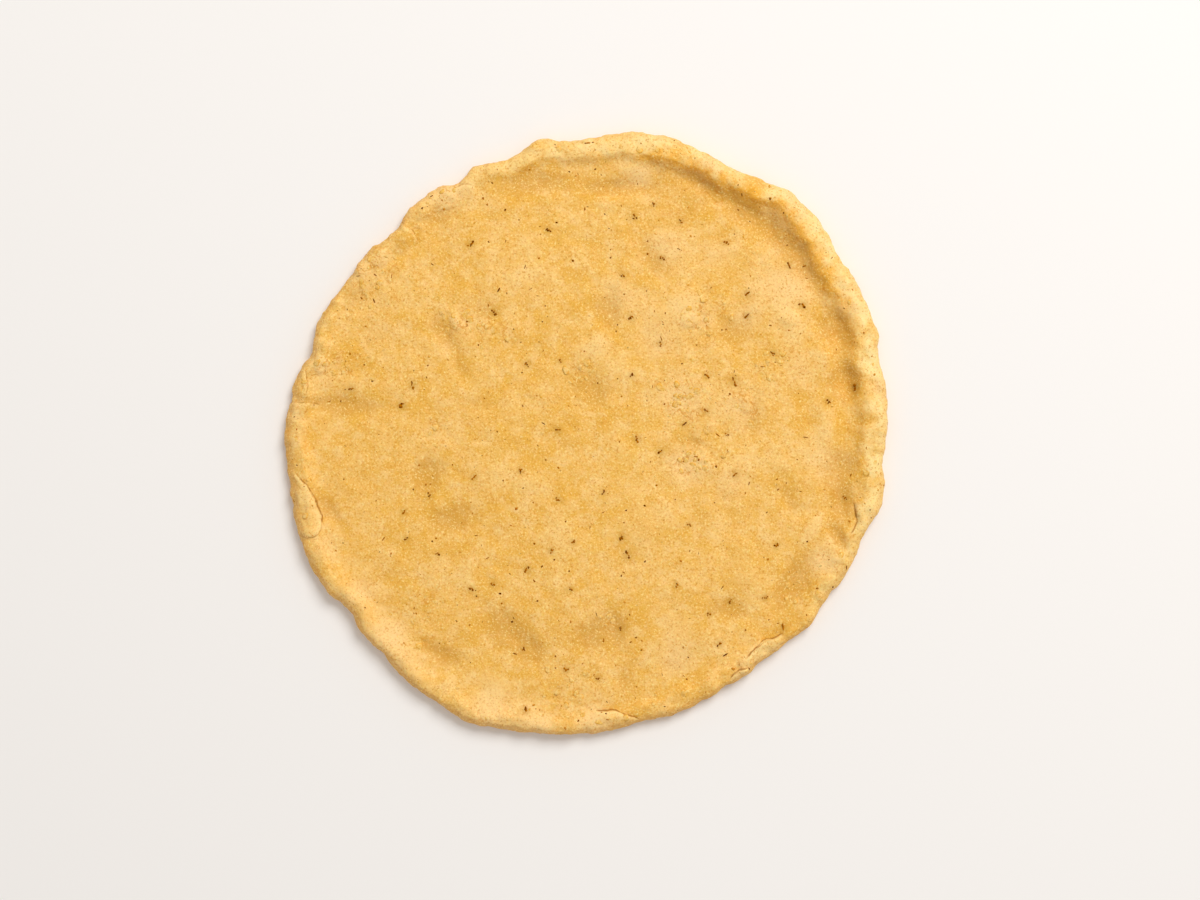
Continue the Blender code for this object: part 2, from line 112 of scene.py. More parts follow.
# Finger dents and the low swells between them, in millimetres and degrees from the middle:
# place in x and y, half length, half width, turn of the length, and lift (a dent's is below 0)
FINGER_MARKS = (
    (10.6, 52.7, 9, 5, 90, -1.2), (15.0, 106.8, 13, 3.5, 4, -1.8), (21.4, 114.5, 11, 3.5, 0, 0.7),
    (12.8, 99.0, 8, 3.5, 0, 0.7), (-60.8, 42.7, 9, 3.5, -55, -1.0),
    (-54.0, 27.5, 8, 3.5, -75, -0.9), (-57.5, 50.4, 8, 3.5, -58, 0.6), (-41.4, 53.5, 7, 7, 0, -0.9),
    (-106.0, 12.4, 14, 4.5, 0, -1.3), (-96.0, 21.0, 14, 5, 0, 0.6), (-45.7, 12.4, 9, 5, 0, -0.9),
    (-69.5, -17.9, 7, 7, 0, -1.4), (-60.8, -37.4, 8, 6, 20, -1.1), (-63.0, -5.0, 5, 5, 0, 0.6),
    (-28.4, -89.4, 16, 6, -38, -1.5), (0.0, -89.4, 7, 6, 0, -1.2), (12.3, -82.9, 8, 5, 90, -1.3),
    (17.1, -106.7, 7, 5, 60, -1.0), (4.1, 18.9, 10, 9, 0, -0.9), (48.3, -7.1, 6, 2.4, -60, -1.2),
    (52.0, -13.0, 7, 3, -45, 0.8), (-108.9, -35.2, 7, 2.8, -60, -1.2), (-99.8, 57.8, 8, 6, 0, -0.9),
    (-104.5, 71.0, 8, 4, 55, 0.6), (90.7, -63.4, 12, 5, 55, -1.9), (109.0, 44.9, 8, 6, 112, -2.9),
    (112.0, 21.9, 7, 5.5, 100, -2.8), (109.5, -15.8, 7, 5, 80, -1.8),
    (110.5, -28.8, 6, 4, 80, -1.6), (108.5, -43.9, 6, 2.8, -60, -1.8),
    (104.0, 33.0, 7, 4, 100, 0.9), (104.0, 2.0, 9, 4, 90, 0.8), (97.0, -42.0, 8, 4, 60, 0.8),
    (73.4, 92.0, 17, 6, -42, -1.3), (95.0, 74.0, 13, 5, -55, -1.2), (49.6, 110.0, 8, 4, -22, -1.2),
    (46.0, 99.0, 7, 5, 0, -0.8), (88.5, -28.8, 12, 4, -60, -0.9), (28.0, 77.0, 12, 5, -60, -0.9),
    (66.9, 44.9, 9, 6, 0, -0.8), (64.7, -76.4, 7, 5, 0, -1.1), (-62.0, -95.5, 11, 4, -22, -1.2),
    (-82.5, -78.5, 7, 6, 0, -0.8), (-88.0, -62.0, 9, 5, -50, -0.7), (-80.3, 81.7, 7, 6, 0, -0.9),
    (-63.0, 94.6, 9, 5, 20, -1.0), (-24.0, 108.0, 14, 5, 10, -1.0), (88.5, 47.0, 8, 9, 0, 1.0),
    (69.0, -61.2, 9, 8, 0, 0.8), (45.2, 55.7, 8, 6, 0, 0.7), (6.3, 38.4, 7, 6, 0, 0.6),
    (30.0, -40.0, 12, 7, 30, 0.5), (-30.0, -20.0, 12, 8, -30, 0.5), (-20.0, 70.0, 14, 7, 20, 0.5),
    (72.0, 4.0, 9, 4, -75, -0.8), (60.0, -30.0, 10, 4, -70, -0.7), (40.0, -100.0, 10, 5, 10, -0.8),
)

# Laps where the edge was folded over and pressed down, in millimetres: the two ends of each
# crease, how far it bows to the right of the way from start to end, and the step up to the flap,
# which lies to the left of that way
LAPS = (
    (-113.3, -38.7, -124.6, -17.3, 1.8, 1.6),
    (-122.8, -44.4, -113.8, -39.6, 2.8, 1.0),
    (22.7, -122.4, 5.0, -119.6, 1.0, 1.5),
    (-4.0, -118.0, -17.0, -115.5, 0.8, 0.6),
    (116.0, -30.5, 115.0, -43.0, -1.2, 1.2),
    (-72.0, 84.0, -79.5, 91.5, 0.8, 1.0),
    (-48.5, 107.5, -56.5, 106.5, 0.7, 0.9),
    (-119.9, 17.0, -121.0, 27.0, 0.6, 1.0),
    (-115.5, 12.4, -128.0, 13.4, 0.5, 1.0),
    (85.0, -86.5, 69.5, -97.0, 1.8, 1.8),
    (70.0, -101.0, 62.5, -105.5, 0.8, 1.2),
)
LAP_RUNOUT = 5.5 * MM  # how far behind its crease a flap's step fades away
DIP_RUNOUT = 0.5 * LAP_RUNOUT  # how far before it the crease's dip does
LAP_LIP = 0.6  # share of the step by which the flap's lip stands up
LAP_DIP = 0.4  # share of the step by which the crease beside it dips
LAP_ENDS = (0.75, 0.25)  # away from the crease's middle, in its lengths: no step, and all of it
LAP_SOFTNESS = 0.9 * MM
LAP_WANDER = 0.9 * MM  # how far a crease strays from straight, in bends of the next size
LAP_BEND = 5.0 * MM
LAP_BEND_LAYER = 17.0  # of the noise that draws the bends

# Lumps that broke off and were pressed on again: place in x and y, half length and half width in
# millimetres, turn in degrees, and height in millimetres
CHUNKS = (
    (75.0, -94.3, 5.2, 4.2, 40, 0.9), (82.0, -90.2, 3.8, 3.0, 30, 0.8),
    (68.9, -99.3, 3.8, 3.0, 80, 0.9), (67.3, -104.1, 4.0, 2.6, 30, 1.0),
    (-104.0, 92.0, 3.4, 2.8, 60, 0.6), (-114.0, 30.0, 4.0, 2.8, 80, 0.7),
    (-88.0, 76.0, 4.2, 3.0, 40, 0.6), (-60.0, 101.0, 4.0, 3.0, 20, 0.7),
    (45.2, 49.2, 4.0, 2.8, 30, 0.6), (49.6, -9.3, 4.2, 2.6, -60, 0.8),
    (54.5, 2.5, 3.0, 2.4, 0, 0.5), (69.1, 12.4, 3.6, 2.6, 70, 0.7), (88.5, 49.2, 3.8, 3.0, 20, 0.6),
    (10.6, 14.5, 3.2, 2.2, 50, 0.5), (-56.0, 48.0, 3.4, 2.2, -50, 0.6),
    (-40.0, -60.0, 3.0, 2.2, 10, 0.4),
)
CHUNK_SOFTNESS = 0.16  # of the step round a chunk, as a share of its half size

# Unevenness that fingers leave everywhere: size of its waves and height, in metres
WAVES = ((0.024, 0.00055), (0.011, 0.00042), (0.0065, 0.00018))
WAVES_APART = 7.3  # in the noise

INNER_SLOPE_SHARE = 0.40  # of the rings that are left, those between the floor and the crest

# Herb flakes that catch the eye: place in x and y, length and width in millimetres, turn in degrees
LARGE_FLAKES = (
    (-79.2, 12.3, 3.4, 1.8, 50), (-74.8, 20.6, 3.8, 1.2, -80), (-49.5, 82.0, 3.6, 1.4, 48),
    (-39.2, 52.1, 2.6, 1.8, -30), (-16.0, 88.0, 2.4, 1.8, 0), (21.0, 93.6, 2.8, 1.6, -50),
    (60.8, 82.5, 2.6, 1.6, -60), (88.1, 72.6, 3.0, 1.0, -70), (93.6, 55.5, 3.0, 1.6, -50),
    (70.1, 60.6, 3.0, 1.1, 35), (81.1, 34.9, 2.6, 1.3, -40), (32.3, 38.8, 2.6, 1.1, 80),
    (64.2, 22.8, 4.8, 1.0, -68), (116.7, 19.7, 3.4, 2.0, -60), (112.5, -27.9, 2.6, 1.3, -25),
    (20.1, 25.1, 2.4, 1.2, 50), (32.1, -7.9, 2.8, 1.2, 30), (-11.8, 1.6, 3.0, 0.9, 0),
    (-11.8, -28.5, 2.4, 1.2, -35), (15.5, -45.2, 2.4, 2.0, 40), (18.1, -52.5, 3.4, 1.4, -65),
    (82.7, -48.2, 2.4, 1.5, -10), (39.5, -65.8, 2.2, 1.6, -60), (53.4, -78.1, 2.6, 1.3, 30),
    (85.5, -84.2, 6.0, 1.4, -78), (-27.1, -93.2, 2.4, 1.6, 70), (-49.3, -67.2, 2.4, 1.2, -40),
    (-78.6, -33.9, 2.4, 1.2, 50), (-25.7, -119.4, 3.0, 1.3, 70),
)

# The other flakes, in metres, spread over the floor by a seeded draw
SPREAD_FLAKES = 34
FLAKE_LENGTH = (0.0018, 0.0030)
FLAKE_WIDTH = (0.0009, 0.0014)
FLAKE_HEIGHT = 0.0010
FLAKE_SPACING = 0.0095
FLAKE_SPREAD = 0.108  # radius of the floor that they lie in
FLAKE_SEED = 11

# The finer grid of the looks
FINE_RINGS = 178
FINE_FLOOR_SHARE = 0.72
GROUNDED = 0.0015  # below this height in metres the fine relief fades away towards the ground

# Lumps and grain along the surface's normal: size and height in metres
LUMPS = ((0.0058, 0.00026), (0.0029, 0.00013), (0.0014, 0.00007))
EDGE_LUMPS = 3.1  # how much stronger the lumps are on the rim than on the floor

# Shares of the way over the rim, from 0 at its inner foot to 1 on the ground outside
EDGE_LUMPS_FULL = 0.5  # the lumps are at their strongest from here on
RELIEF_END = 0.8  # the colour follows dents and swells up to here
WALL_START = 0.5
CREST_END = (0.72, 0.88)  # the crest's pale colour starts to fade, and has faded

# Shares of the way up the rim's inner slope, from 0 at its foot to 1 at the crest: middle and half
# width of three bands, the painted shade at the foot, the crumbly dough, and the painted orange shade
# under the crest, and where the crest's pale colour starts and is full
FOOT_BAND = (0.42, 0.30)
CRUMBLY_BAND = (0.50, 0.35)
CREASE_BAND = (0.93, 0.17)
CREST_START = (0.75, 1.10)

# The bands' edges are scalloped: size in metres, and reach as a share of the slope
SCALLOP_SIZE = 0.0042
SCALLOPS = 0.22

# On the crust's side towards the light, the rim's inner slope faces away from it and is painted with
# shade where the rim is higher than the first of these heights, and most so from the second on
LOW_RIM = 0.0090
HIGH_RIM = 0.0108

# The rim's crest is palest at this turn in degrees, the side that faces the light, partly as drier
# dough and partly as painted highlight, and on the other side pale only by this share
PALE_TURN = 38
LEAST_CREST_PALENESS = 0.15

# The outer wall is painted with shade, browner than the top, most so at this turn in degrees, the
# side turned from the light, and on the other side only by this share. It starts where the surface
# normal's upward part falls below LEVEL, and is full where that is STEEP or less
WALL_SHADE_TURN = 220
LEAST_WALL_SHADE = 0.4
LEVEL = 0.985
STEEP = 0.78

# Cracks of dry dough: size of their pattern and of the fields that have them, and depth, in metres
CRACK_SIZE = 0.013
CRACK_FIELD_SIZE = 0.034
CRACK_DEPTH = 0.00028
CRACK_HALF_WIDTH = 0.045  # in units of the noise that draws them
CRACK_WINDING = 0.35  # share of a noise a third as large that makes them wind
CRACK_FIELD_EDGE = (0.05, 0.30)  # the noise at which a field starts, and at which it is full

# Places where crumbs were pressed on: x, y and radius in millimetres, and how rough they are
ROUGH_PATCHES = (
    (44, 14, 11, 1.0), (48, -12, 9, 0.9), (71, 16, 9, 1.0), (-55, 50, 9, 0.9),
    (-41, 45, 8, 0.8), (52, 50, 12, 0.7), (-2, 29, 7, 0.9), (-62, 3, 9, 0.5),
    (83, 30, 9, 0.8), (-71, -80, 12, 0.7), (90, -66, 9, 0.4), (-104, 30, 10, 0.8),
    (-8, -112, 13, 0.7), (10, -80, 8, 0.7), (-92, 70, 12, 0.7),
)
ROUGHNESS_SIZE = 0.0019
ROUGHNESS_HEIGHT = 0.00042
ROUGHNESS_STEEPNESS = 0.7  # below 1, the lumps of a rough patch rise more steeply
ROUGHNESS_LEVEL = 0.35  # the share of their height that lies below the dough round them
SLOPE_ROUGHNESS = 0.7  # how rough the rim's inner slope is where the rim is high

# Places where the dough was pressed sleek, with less grain: x, y and radius in millimetres
SLEEK_PATCHES = (
    (-113, 4, 9), (-113, -36, 9), (-103, -60, 10), (-88, -80, 12), (-66, -98, 11), (-42, -110, 10),
    (-16, -117, 10), (6, -120, 8), (113, 50, 8), (96, 80, 8), (70, 102, 8), (120, 12, 7),
)
SLEEK_GRAIN = 0.8  # share of the grain that is left on them

# Where the dough dried paler or lies oily and deeper in colour: x, y and radius in millimetres, and
# its tone, above 0 for dry dough and below 0 for oily dough
TONES = (
    (-51, 49, 8, 0.6), (32, 42, 11, 0.7), (50, 50, 9, 0.5), (18, 62, 10, 0.8), (34, 80, 10, 0.8),
    (80, 65, 12, 0.7), (57, 78, 9, 0.6), (23, 111, 7, 1.0), (40, 16, 10, 0.9), (65, 12, 12, 0.6),
    (43, -14, 9, 0.9), (95, 30, 11, 0.8), (104, -55, 8, 0.9), (40, -98, 10, 0.8), (38, -82, 8, 0.5),
    (63, -21, 8, 0.6), (4, -125, 9, 1.0), (-20, -126, 8, 0.9), (-84, -88, 12, 1.0), (-97, -68, 9, 0.7),
    (-89, 45, 9, 0.5), (-60, 106, 10, 1.0), (-111, -49, 7, 0.7), (-41, -119, 12, 0.9), (-72, -103, 8, 0.5),
    (53, 116, 8, 0.9), (88, 99, 10, 0.9), (115, 57, 8, 0.8), (126, 21, 6, 0.8), (-114, 23, 7, 0.6),
    (-97, 70, 9, 0.6), (102, -10, 11, 0.6), (70, 50, 7, 0.6), (92, 62, 8, 0.6), (74, 107, 9, -1.0),
    (41, 120, 6, -0.8), (21, 101, 6, -0.8), (-124, 8, 4, 0.7), (-124, -3, 4, 0.7), (-122, -38, 7, -0.5),
    (-124, -14, 8, -0.5), (-115, 7, 7, -0.5), (18, 121, 7, -0.5), (22, -119, 8, -0.9), (48, -113, 11, -0.8),
    (90, -84, 11, -0.9), (116, -47, 7, -0.5), (120, 5, 7, -0.5), (106, 34, 11, -0.8), (25, 71, 9, -0.7),
    (-40, 10, 9, -0.6), (69, -56, 11, -0.6), (26, -39, 11, -0.6), (45, 105, 8, -0.6), (-6, 18, 14, -0.5),
    (-66, -47, 10, -0.6), (-68, -80, 10, -0.6), (-99, -20, 11, -0.6), (-97, -51, 9, -0.6), (-86, 2, 10, -0.5),
    (-72, 86, 8, -0.6), (-80, 97, 9, 0.7), (113, 19, 6, -0.6),
)

# Along a lap's crease the dough parts in a seam, from the lower of two steps on, and fully at the
# higher one, in metres
LOW_STEP = 0.0005
HIGH_STEP = 0.0014
SEAM_REACH = 0.003
SEAM_HALF_WIDTH = 0.0006
SEAM_DEPTH = 0.0006
SEAM_ENDS = (0.56, 0.46)  # away from the crease's middle, in its lengths: shut, and open
CRISP_LAP = 0.00035  # softness in metres of a lap's step on the fine grid

# The dough is stained round a herb flake, up to this share of its length and this many metres
STAIN_LENGTHS = 0.45
STAIN_REACH = 0.0006

# A herb flake is a row of ragged bits: their places along it, how far they stray along and across
# it, their lengths and widths, as shares of its own, and how far they turn, in radians
FLAKE_BITS = (-0.34, -0.1, 0.12, 0.32)
BIT_STRAY_ALONG = 0.1
BIT_STRAY_ACROSS = 0.4
BIT_LENGTHS = (0.26, 0.46)
BIT_WIDTHS = (0.4, 1.0)
BIT_TURN = 0.9
FLAKE_BIT_SINK = 0.2
SLIM_FLAKE = 2.6  # a flake this many times as long as it is wide is one straight shred
SLIM_RAGGEDNESS = 0.3  # how much its bits still stray and turn

# Small bits all over the dough, by piece: how many, their shortest and longest in metres, their
# least and greatest width, their height and how deep they sink, as shares of their length, length
# and height, and a seed
SMALL_BITS = {
    "herb_specks": (700, (0.0004, 0.0016), (0.3, 0.9), 0.3, 0.25, 21),
    "herb_shreds": (80, (0.0011, 0.0030), (0.16, 0.28), 0.2, 0.1, 24),
    "almond_bits": (1300, (0.0004, 0.0011), (0.6, 1.0), 0.45, 0.25, 22),
    "skin_bits": (320, (0.0006, 0.0017), (0.4, 0.9), 0.4, 0.2, 23),
}
SCATTER_SEED = 5
SCATTER_RADIUS = 0.134
SCATTER_HEIGHT = 0.003  # small bits lie on the dough only above this height in metres
SIZE_SEED_STEP = 100  # from the seed of the bits' places to that of their sizes

# Crumbs: how many on the rough patches and along the edge, length in metres, and width and height
# as shares of the length
PATCH_CRUMBS = 260
EDGE_CRUMBS = 60
CRUMB_LENGTH = (0.0011, 0.0040)
CRUMB_WIDTH = (0.6, 0.95)
CRUMB_HEIGHT = (0.14, 0.28)
CRUMB_SINK = 0.2
CRUMB_SPREAD = 0.55  # of the crumbs round a patch's middle, as a share of its radius
CRUMB_INSET = (0.001, 0.012)  # of the edge's crumbs, in metres from the outline
LOWEST_CRUMB = 0.004  # crumbs lie on the dough only above this height in metres
CRUMB_TONE = 0.25  # how much drier they are than the dough they lie on
CRUMB_FOOT_SHADE = 0.17  # share of a crumb's height over which its foot is painted with golden shade

# Bits and crumbs are made uneven by waves, by these shares of their size. Each draws how tight its
# waves are, to both sides of 0 by about BIT_WAVES, and their phases up to BIT_PHASES
UNEVENNESS = 0.22
FLAKE_UNEVENNESS = 0.16
BIT_WAVES = 4
BIT_PHASES = 6

# Colours as sRGB, 0 to 255
DOUGH = (243, 190, 102)
OILY_DOUGH = (235, 177, 72)
# Pale dough in patches, also painted light on the swells
PALE_DOUGH_AND_LIGHT = (252, 210, 136)
DRY_DOUGH = (252, 209, 140)
# The crest's pale colour, partly drier dough and partly painted highlight; also the painted highlight on a
# flap's lip
CREST_DOUGH_AND_HIGHLIGHT = (255, 226, 156)
# Deeper dough in dents, partly oil and partly painted shade; also painted shade at the foot of the rim's
# inner slope
DEEP_DOUGH_AND_SHADE = (213, 156, 63)
# Painted orange shade under the rim's crest, and painted golden shade round the crumbs' feet
CREASE_SHADE = (247, 176, 48)
# Painted shade in tears and in the gaps between crumbly lumps
GROOVE_SHADE = (214, 138, 26)
# Painted shade in a seam's crevice
SEAM_SHADE = (172, 108, 22)
# Painted shade on the outer wall
WALL_SHADE = (225, 167, 90)
GREY_DOUGH = (194, 148, 70)
GOLD_DOUGH = (236, 179, 66)
GRAIN_LIGHT = (255, 219, 137)
GRAIN_DARK = (217, 151, 52)
HERB_DARK = (110, 54, 0)
HERB_LIGHT = (186, 112, 8)
SKIN = (190, 112, 24)
STAIN = (188, 136, 40)
ALMOND = (250, 211, 124)
FLOOR = (243, 239, 235)

# Blotches drawn by noise: its size in metres, detail, roughness and distortion, then its values
# where a blotch starts and where it is full
MOTTLE = (0.024, 3.0, 0.55, 0.0, 0.38, 0.64)
PATCHES = (0.0075, 4.0, 0.6, 0.0, 0.38, 0.66)
FRECKLES = (0.0031, 2.0, 0.5, 0.0, 0.40, 0.62)
GOLD_SPOTS = (0.013, 2.0, 0.5, 0.6, 0.54, 0.70)
SMUDGES = (0.0034, 2.0, 0.5, 0.0, 0.65, 0.76)
CREST_BLOTCHES = (0.0065, 3.0, 0.6, 0.0, 0.36, 0.60)
SEAM_BLOTCHES = (0.004, 2.0, 0.5, 0.0, 0.36, 0.56)
GLOSS_BLOTCHES = (0.009, 3.0, 0.5, 0.0, 0.35, 0.70)

# Heights of the relief in millimetres at which the colour of dents and swells starts to show and is
# full: dents deeper, partly oil and partly painted shade, and swells paler, partly drier dough and
# partly painted light
SWELL_LIFT = (0.05, 0.9)
DENT_LIFT = (-0.1, -1.1)

# The dough's grain, the cells and the kneaded lumps of its bump, in metres, and the values of the
# grain's noise at which light and dark grains start and are full
GRAIN_SIZE = 0.0009
CELL_SIZE = 0.0008
KNEADED_SIZE = 0.0021
LIGHT_GRAINS = (0.53, 0.68)
DARK_GRAINS = (0.47, 0.32)

# Short tears: size of their pattern and of the fields that have them, in metres, and half width
# and the field's edge in units of the noise
TEAR_SIZE = 0.0052
TEAR_FIELD_SIZE = 0.0062
TEAR_HALF_WIDTH = 0.045
TEAR_FIELD_EDGE = (0.57, 0.63)
ROUGH_TEARS = 0.12  # how much further the fields reach where the dough is rough
LEAST_TEAR = 0.45  # strength of the tears where the dough isn't rough

# Small lumps in the rough patches: size in metres, and the edge of the gaps between them, which are
# grooved and painted with shade
RUBBLE_SIZE = 0.0024
RUBBLE_GAPS = (0.35, 0.75)

# A seam's line of painted shade wavers by this much, in millimetres, in bends of this size in metres.
# Across it, in millimetres, the line fades and the painted highlight on the lip beside it starts and fades
SEAM_WAVER = 0.9
SEAM_BEND = 0.0022
SEAM_LINE = (0.12, 0.48)
LIP_HIGHLIGHT_START = (0.1, 0.5)
LIP_HIGHLIGHT_END = (0.6, 2.4)

# Size of the bits' fine unevenness, in metres
BIT_GRAIN_SIZE = 0.0006

# The camera looks straight down, and its frame's middle lies a little off the crust's
CAMERA_PLACE = (0.0063, -0.0071, 0.871)
CAMERA_LENS_MM = 60
CAMERA_SENSOR_MM = 36

# Soft light from the upper right, and light from all round
KEY_TURN = 56
KEY_RISE = 50
KEY_DISTANCE = 2.4
KEY_SIZE = 1.3
KEY_POWER = 38.5
SKY_COLOUR = (1.0, 0.985, 0.965, 1.0)
SKY_STRENGTH = 0.56
FLOOR_SIZE = 4.0

DOWN = Vector((0, 0, -1))
ABOVE = 1.0  # height in metres from which the dough's surface is looked for


def smooth(share):
    """Runs from 0 to 1 with level ends as share does."""
    share = np.clip(share, 0.0, 1.0)
    return share * share * (3 - 2 * share)


def ramp(value, start, full):
    """From 0 at start to 1 at full, eased at both ends. Start may be the higher of the two."""
    return smooth((value - start) / (full - start))


def outline_radius(turn, narrowest=0):
    """Distance from the middle to the widest point of the edge, for an array of turns. Lobes with
    less than the narrowest half width are left out."""
    radius = MEAN_RADIUS + SHIFT_REACH * np.cos(np.radians(turn))
    radius += OVAL_REACH * np.cos(2 * np.radians(turn - OVAL_TURN))
    for centre, half_width, reach in OUTLINE_LOBES:
        if half_width >= narrowest:
            away = np.abs((turn - centre + 180) % 360 - 180)
            radius += reach * MM * smooth(1 - away / half_width)
    return radius


def rim_sizes(turn):
    """Height, width and crest inset of the rim, in metres, and the squareness of its outer roll,
    eased from station to station. The first three are made uneven, as pinching leaves them."""
    stations = np.array(RIM_STATIONS)
    closed = np.vstack([stations, stations[0] + (360, 0, 0, 0, 0)])
    turn = turn % 360
    after = np.searchsorted(closed[:, 0], turn, side="right").clip(1, len(closed) - 1)
    start, end = closed[after - 1], closed[after]
    share = smooth((turn - start[:, 0]) / (end[:, 0] - start[:, 0]))
    sizes = start[:, 1:] + (end - start)[:, 1:] * share[:, None]
    sizes[:, :3] *= MM
    reach = MEAN_RADIUS / RIM_LUMP_SIZE
    rounds = [Vector((math.cos(t), math.sin(t), 0)) * reach for t in np.radians(turn)]
    for number, lump in enumerate(RIM_LUMPS):
        apart = Vector((0, 0, RIM_LUMPS_APART * (number + 1)))
        sizes[:, number] += lump * np.array([noise.noise(place + apart) for place in rounds])
    return sizes.T


def waviness(x, y):
    """Soft unevenness of pressed dough, from smooth noise of several sizes."""
    lift = np.zeros(len(x))
    for layer, (size, height) in enumerate(WAVES):
        for i, (px, py) in enumerate(zip(x, y)):
            lift[i] += height * noise.noise(Vector((px / size, py / size, WAVES_APART * layer)))
    return lift


def oval_place(x, y, oval_x, oval_y, length, width, turn):
    """Each point's place along and across an oval given in millimetres and degrees, where 1 is on
    its edge."""
    off_x, off_y = x - oval_x * MM, y - oval_y * MM
    cosine, sine = math.cos(math.radians(turn)), math.sin(math.radians(turn))
    along = (off_x * cosine + off_y * sine) / (length * MM)
    return along, (off_y * cosine - off_x * sine) / (width * MM)


def finger_marks(x, y):
    lift = np.zeros(len(x))
    for *oval, height in FINGER_MARKS:
        along, across = oval_place(x, y, *oval)
        lift += height * MM * np.exp(-(along**2 + across**2))
    return lift


def stray(x, y):
    """How far creases wander from their lines at each point, in metres."""
    bends = zip(x / LAP_BEND, y / LAP_BEND)
    return LAP_WANDER * np.array([noise.noise(Vector((bx, by, LAP_BEND_LAYER))) for bx, by in bends])


def lap_places(x, y):
    """For each lap its step, and for each point the place along its crease, from 0 at its start to
    1 at its end, and how far the point lies to the left of it, in metres."""
    wandering = stray(x, y)
    for start_x, start_y, end_x, end_y, bow, step in LAPS:
        run = np.array((end_x - start_x, end_y - start_y)) * MM
        length = math.hypot(*run)
        along_x, along_y = run / length
        off_x, off_y = x - start_x * MM, y - start_y * MM
        along = (off_x * along_x + off_y * along_y) / length
        bowed = 4 * bow * MM * along * (1 - along)
        yield step * MM, along, off_y * along_x - off_x * along_y + bowed + wandering


def laps(x, y, softness=LAP_SOFTNESS):
    """Steps of folded dough: the flap's lip stands up, and the crease beside it dips."""
    lift = np.zeros(len(x))
    for step, along, left in lap_places(x, y):
        ends = ramp(np.abs(along - 0.5), *LAP_ENDS)
        side = 0.5 * (1 + np.tanh(left / softness))
        lip = side * np.exp(-np.clip(left, 0, None) / LAP_RUNOUT)
        dip = (1 - side) * np.exp(-np.clip(-left, 0, None) / DIP_RUNOUT)
        lift += step * ends * (LAP_LIP * lip - LAP_DIP * dip)
    return lift


def chunks(x, y):
    """Lumps that were pressed on again: flat, with a steep step round each, whose line wanders."""
    lift, wandering = np.zeros(len(x)), stray(x, y)
    for *oval, height in CHUNKS:
        away = np.hypot(*oval_place(x, y, *oval)) + wandering / (oval[3] * MM)
        lift += height * MM * 0.5 * (1 - np.tanh((away - 1) / CHUNK_SOFTNESS))
    return lift


def relief(x, y):
    return finger_marks(x, y) + laps(x, y) + chunks(x, y) + waviness(x, y)


def rim_profile(share, height, width, inset, squareness):
    """One section through the rim: how far inside the outline, and how high, for shares from 0 at
    the inner foot to 1 on the ground, with how much of the floor's relief it carries."""
    climb = np.clip(share / INNER_SLOPE_SHARE, 0, 1)
    roll = np.pi * np.clip((share - INNER_SLOPE_SHARE) / (1 - INNER_SLOPE_SHARE), 0, 1)
    belly = BELLY_SHARE * height
    upper = roll < np.pi / 2
    outwards = np.sin(roll) ** (2 / squareness)
    upwards = np.sign(np.cos(roll)) * np.abs(np.cos(roll)) ** (2 / squareness)
    inside = np.where(upper, inset, EDGE_TUCK) * (1 - outwards)
    inside = np.where(climb < 1, width + (inset - width) * climb, inside)
    over = belly + np.where(upper, height - belly, belly) * upwards
    climbing = FLOOR_THICKNESS + (height - FLOOR_THICKNESS) * smooth(climb**FOOT_RUNOUT)
    carries = np.clip(upwards, 0, 1)
    return inside, np.where(climb < 1, climbing, over), carries


def top_surface(share, turn, floor_share):
    """Points of the top for shares from 0 in the middle to 1 where the edge meets the ground. The
    floor takes the shares up to floor_share, and the rim the rest."""
    height, width, inset, squareness = rim_sizes(turn)
    on_floor = share <= floor_share
    rim_share = np.clip((share - floor_share) / (1 - floor_share), 0, 1)
    inside, rim_z, carries = rim_profile(rim_share, height, width, inset, squareness)
    foot = outline_radius(turn, narrowest=FOOT_LOBES) - width
    follows = smooth(rim_share / INNER_SLOPE_SHARE)
    outline = (foot + width) * (1 - follows) + outline_radius(turn) * follows
    radius = np.where(on_floor, foot * share / floor_share, outline - inside)
    x, y = radius * np.cos(np.radians(turn)), radius * np.sin(np.radians(turn))
    z = np.where(on_floor, FLOOR_THICKNESS, rim_z) + carries * relief(x, y)
    return x, y, np.where(share >= 1, 0.0, z)


def flake_shapes():
    """Place, length, width and turn of every flake: the large ones, then others kept apart from
    them and from each other, in metres and radians."""
    shapes = []
    for x, y, length, width, turn in LARGE_FLAKES:
        shapes.append((Vector((x, y)) * MM, length * MM, width * MM, math.radians(turn)))
    draw = random.Random(FLAKE_SEED)
    while len(shapes) < len(LARGE_FLAKES) + SPREAD_FLAKES:
        radius = FLAKE_SPREAD * math.sqrt(draw.random())
        around = draw.uniform(0, 2 * math.pi)
        place = Vector((radius * math.cos(around), radius * math.sin(around)))
        if all((place - other[0]).length > FLAKE_SPACING for other in shapes):
            length, width = draw.uniform(*FLAKE_LENGTH), draw.uniform(*FLAKE_WIDTH)
            shapes.append((place, length, width, draw.uniform(0, math.pi)))
    return shapes


def band(value, middle, half_width):
    """1 where the value is at the middle, and fading to both sides of it."""
    return np.exp(-(((value - middle) / half_width) ** 2))


def linear(colour):
    """An sRGB colour from 0 to 255 as the linear colour that a shader takes."""
    share = np.array(colour) / 255
    bright = ((share + 0.055) / 1.055) ** 2.4
    return (*np.where(share <= 0.04045, share / 12.92, bright), 1.0)


def new_object(name, data):
    obj = bpy.data.objects.new(name, data)
    bpy.context.scene.collection.objects.link(obj)
    return obj


def set_attribute(mesh, name, values):
    layer = mesh.attributes.new(name, "FLOAT", "POINT")
    layer.data.foreach_set("value", np.asarray(values, np.float32))


def noise_field(points, size, seed):
    """Smooth noise of about -1 to 1 at each point, with features of the given size. Fields with
    seeds apart are unlike each other."""
    return np.array([noise.noise(Vector((x, y, z + seed))) for x, y, z in points / size])


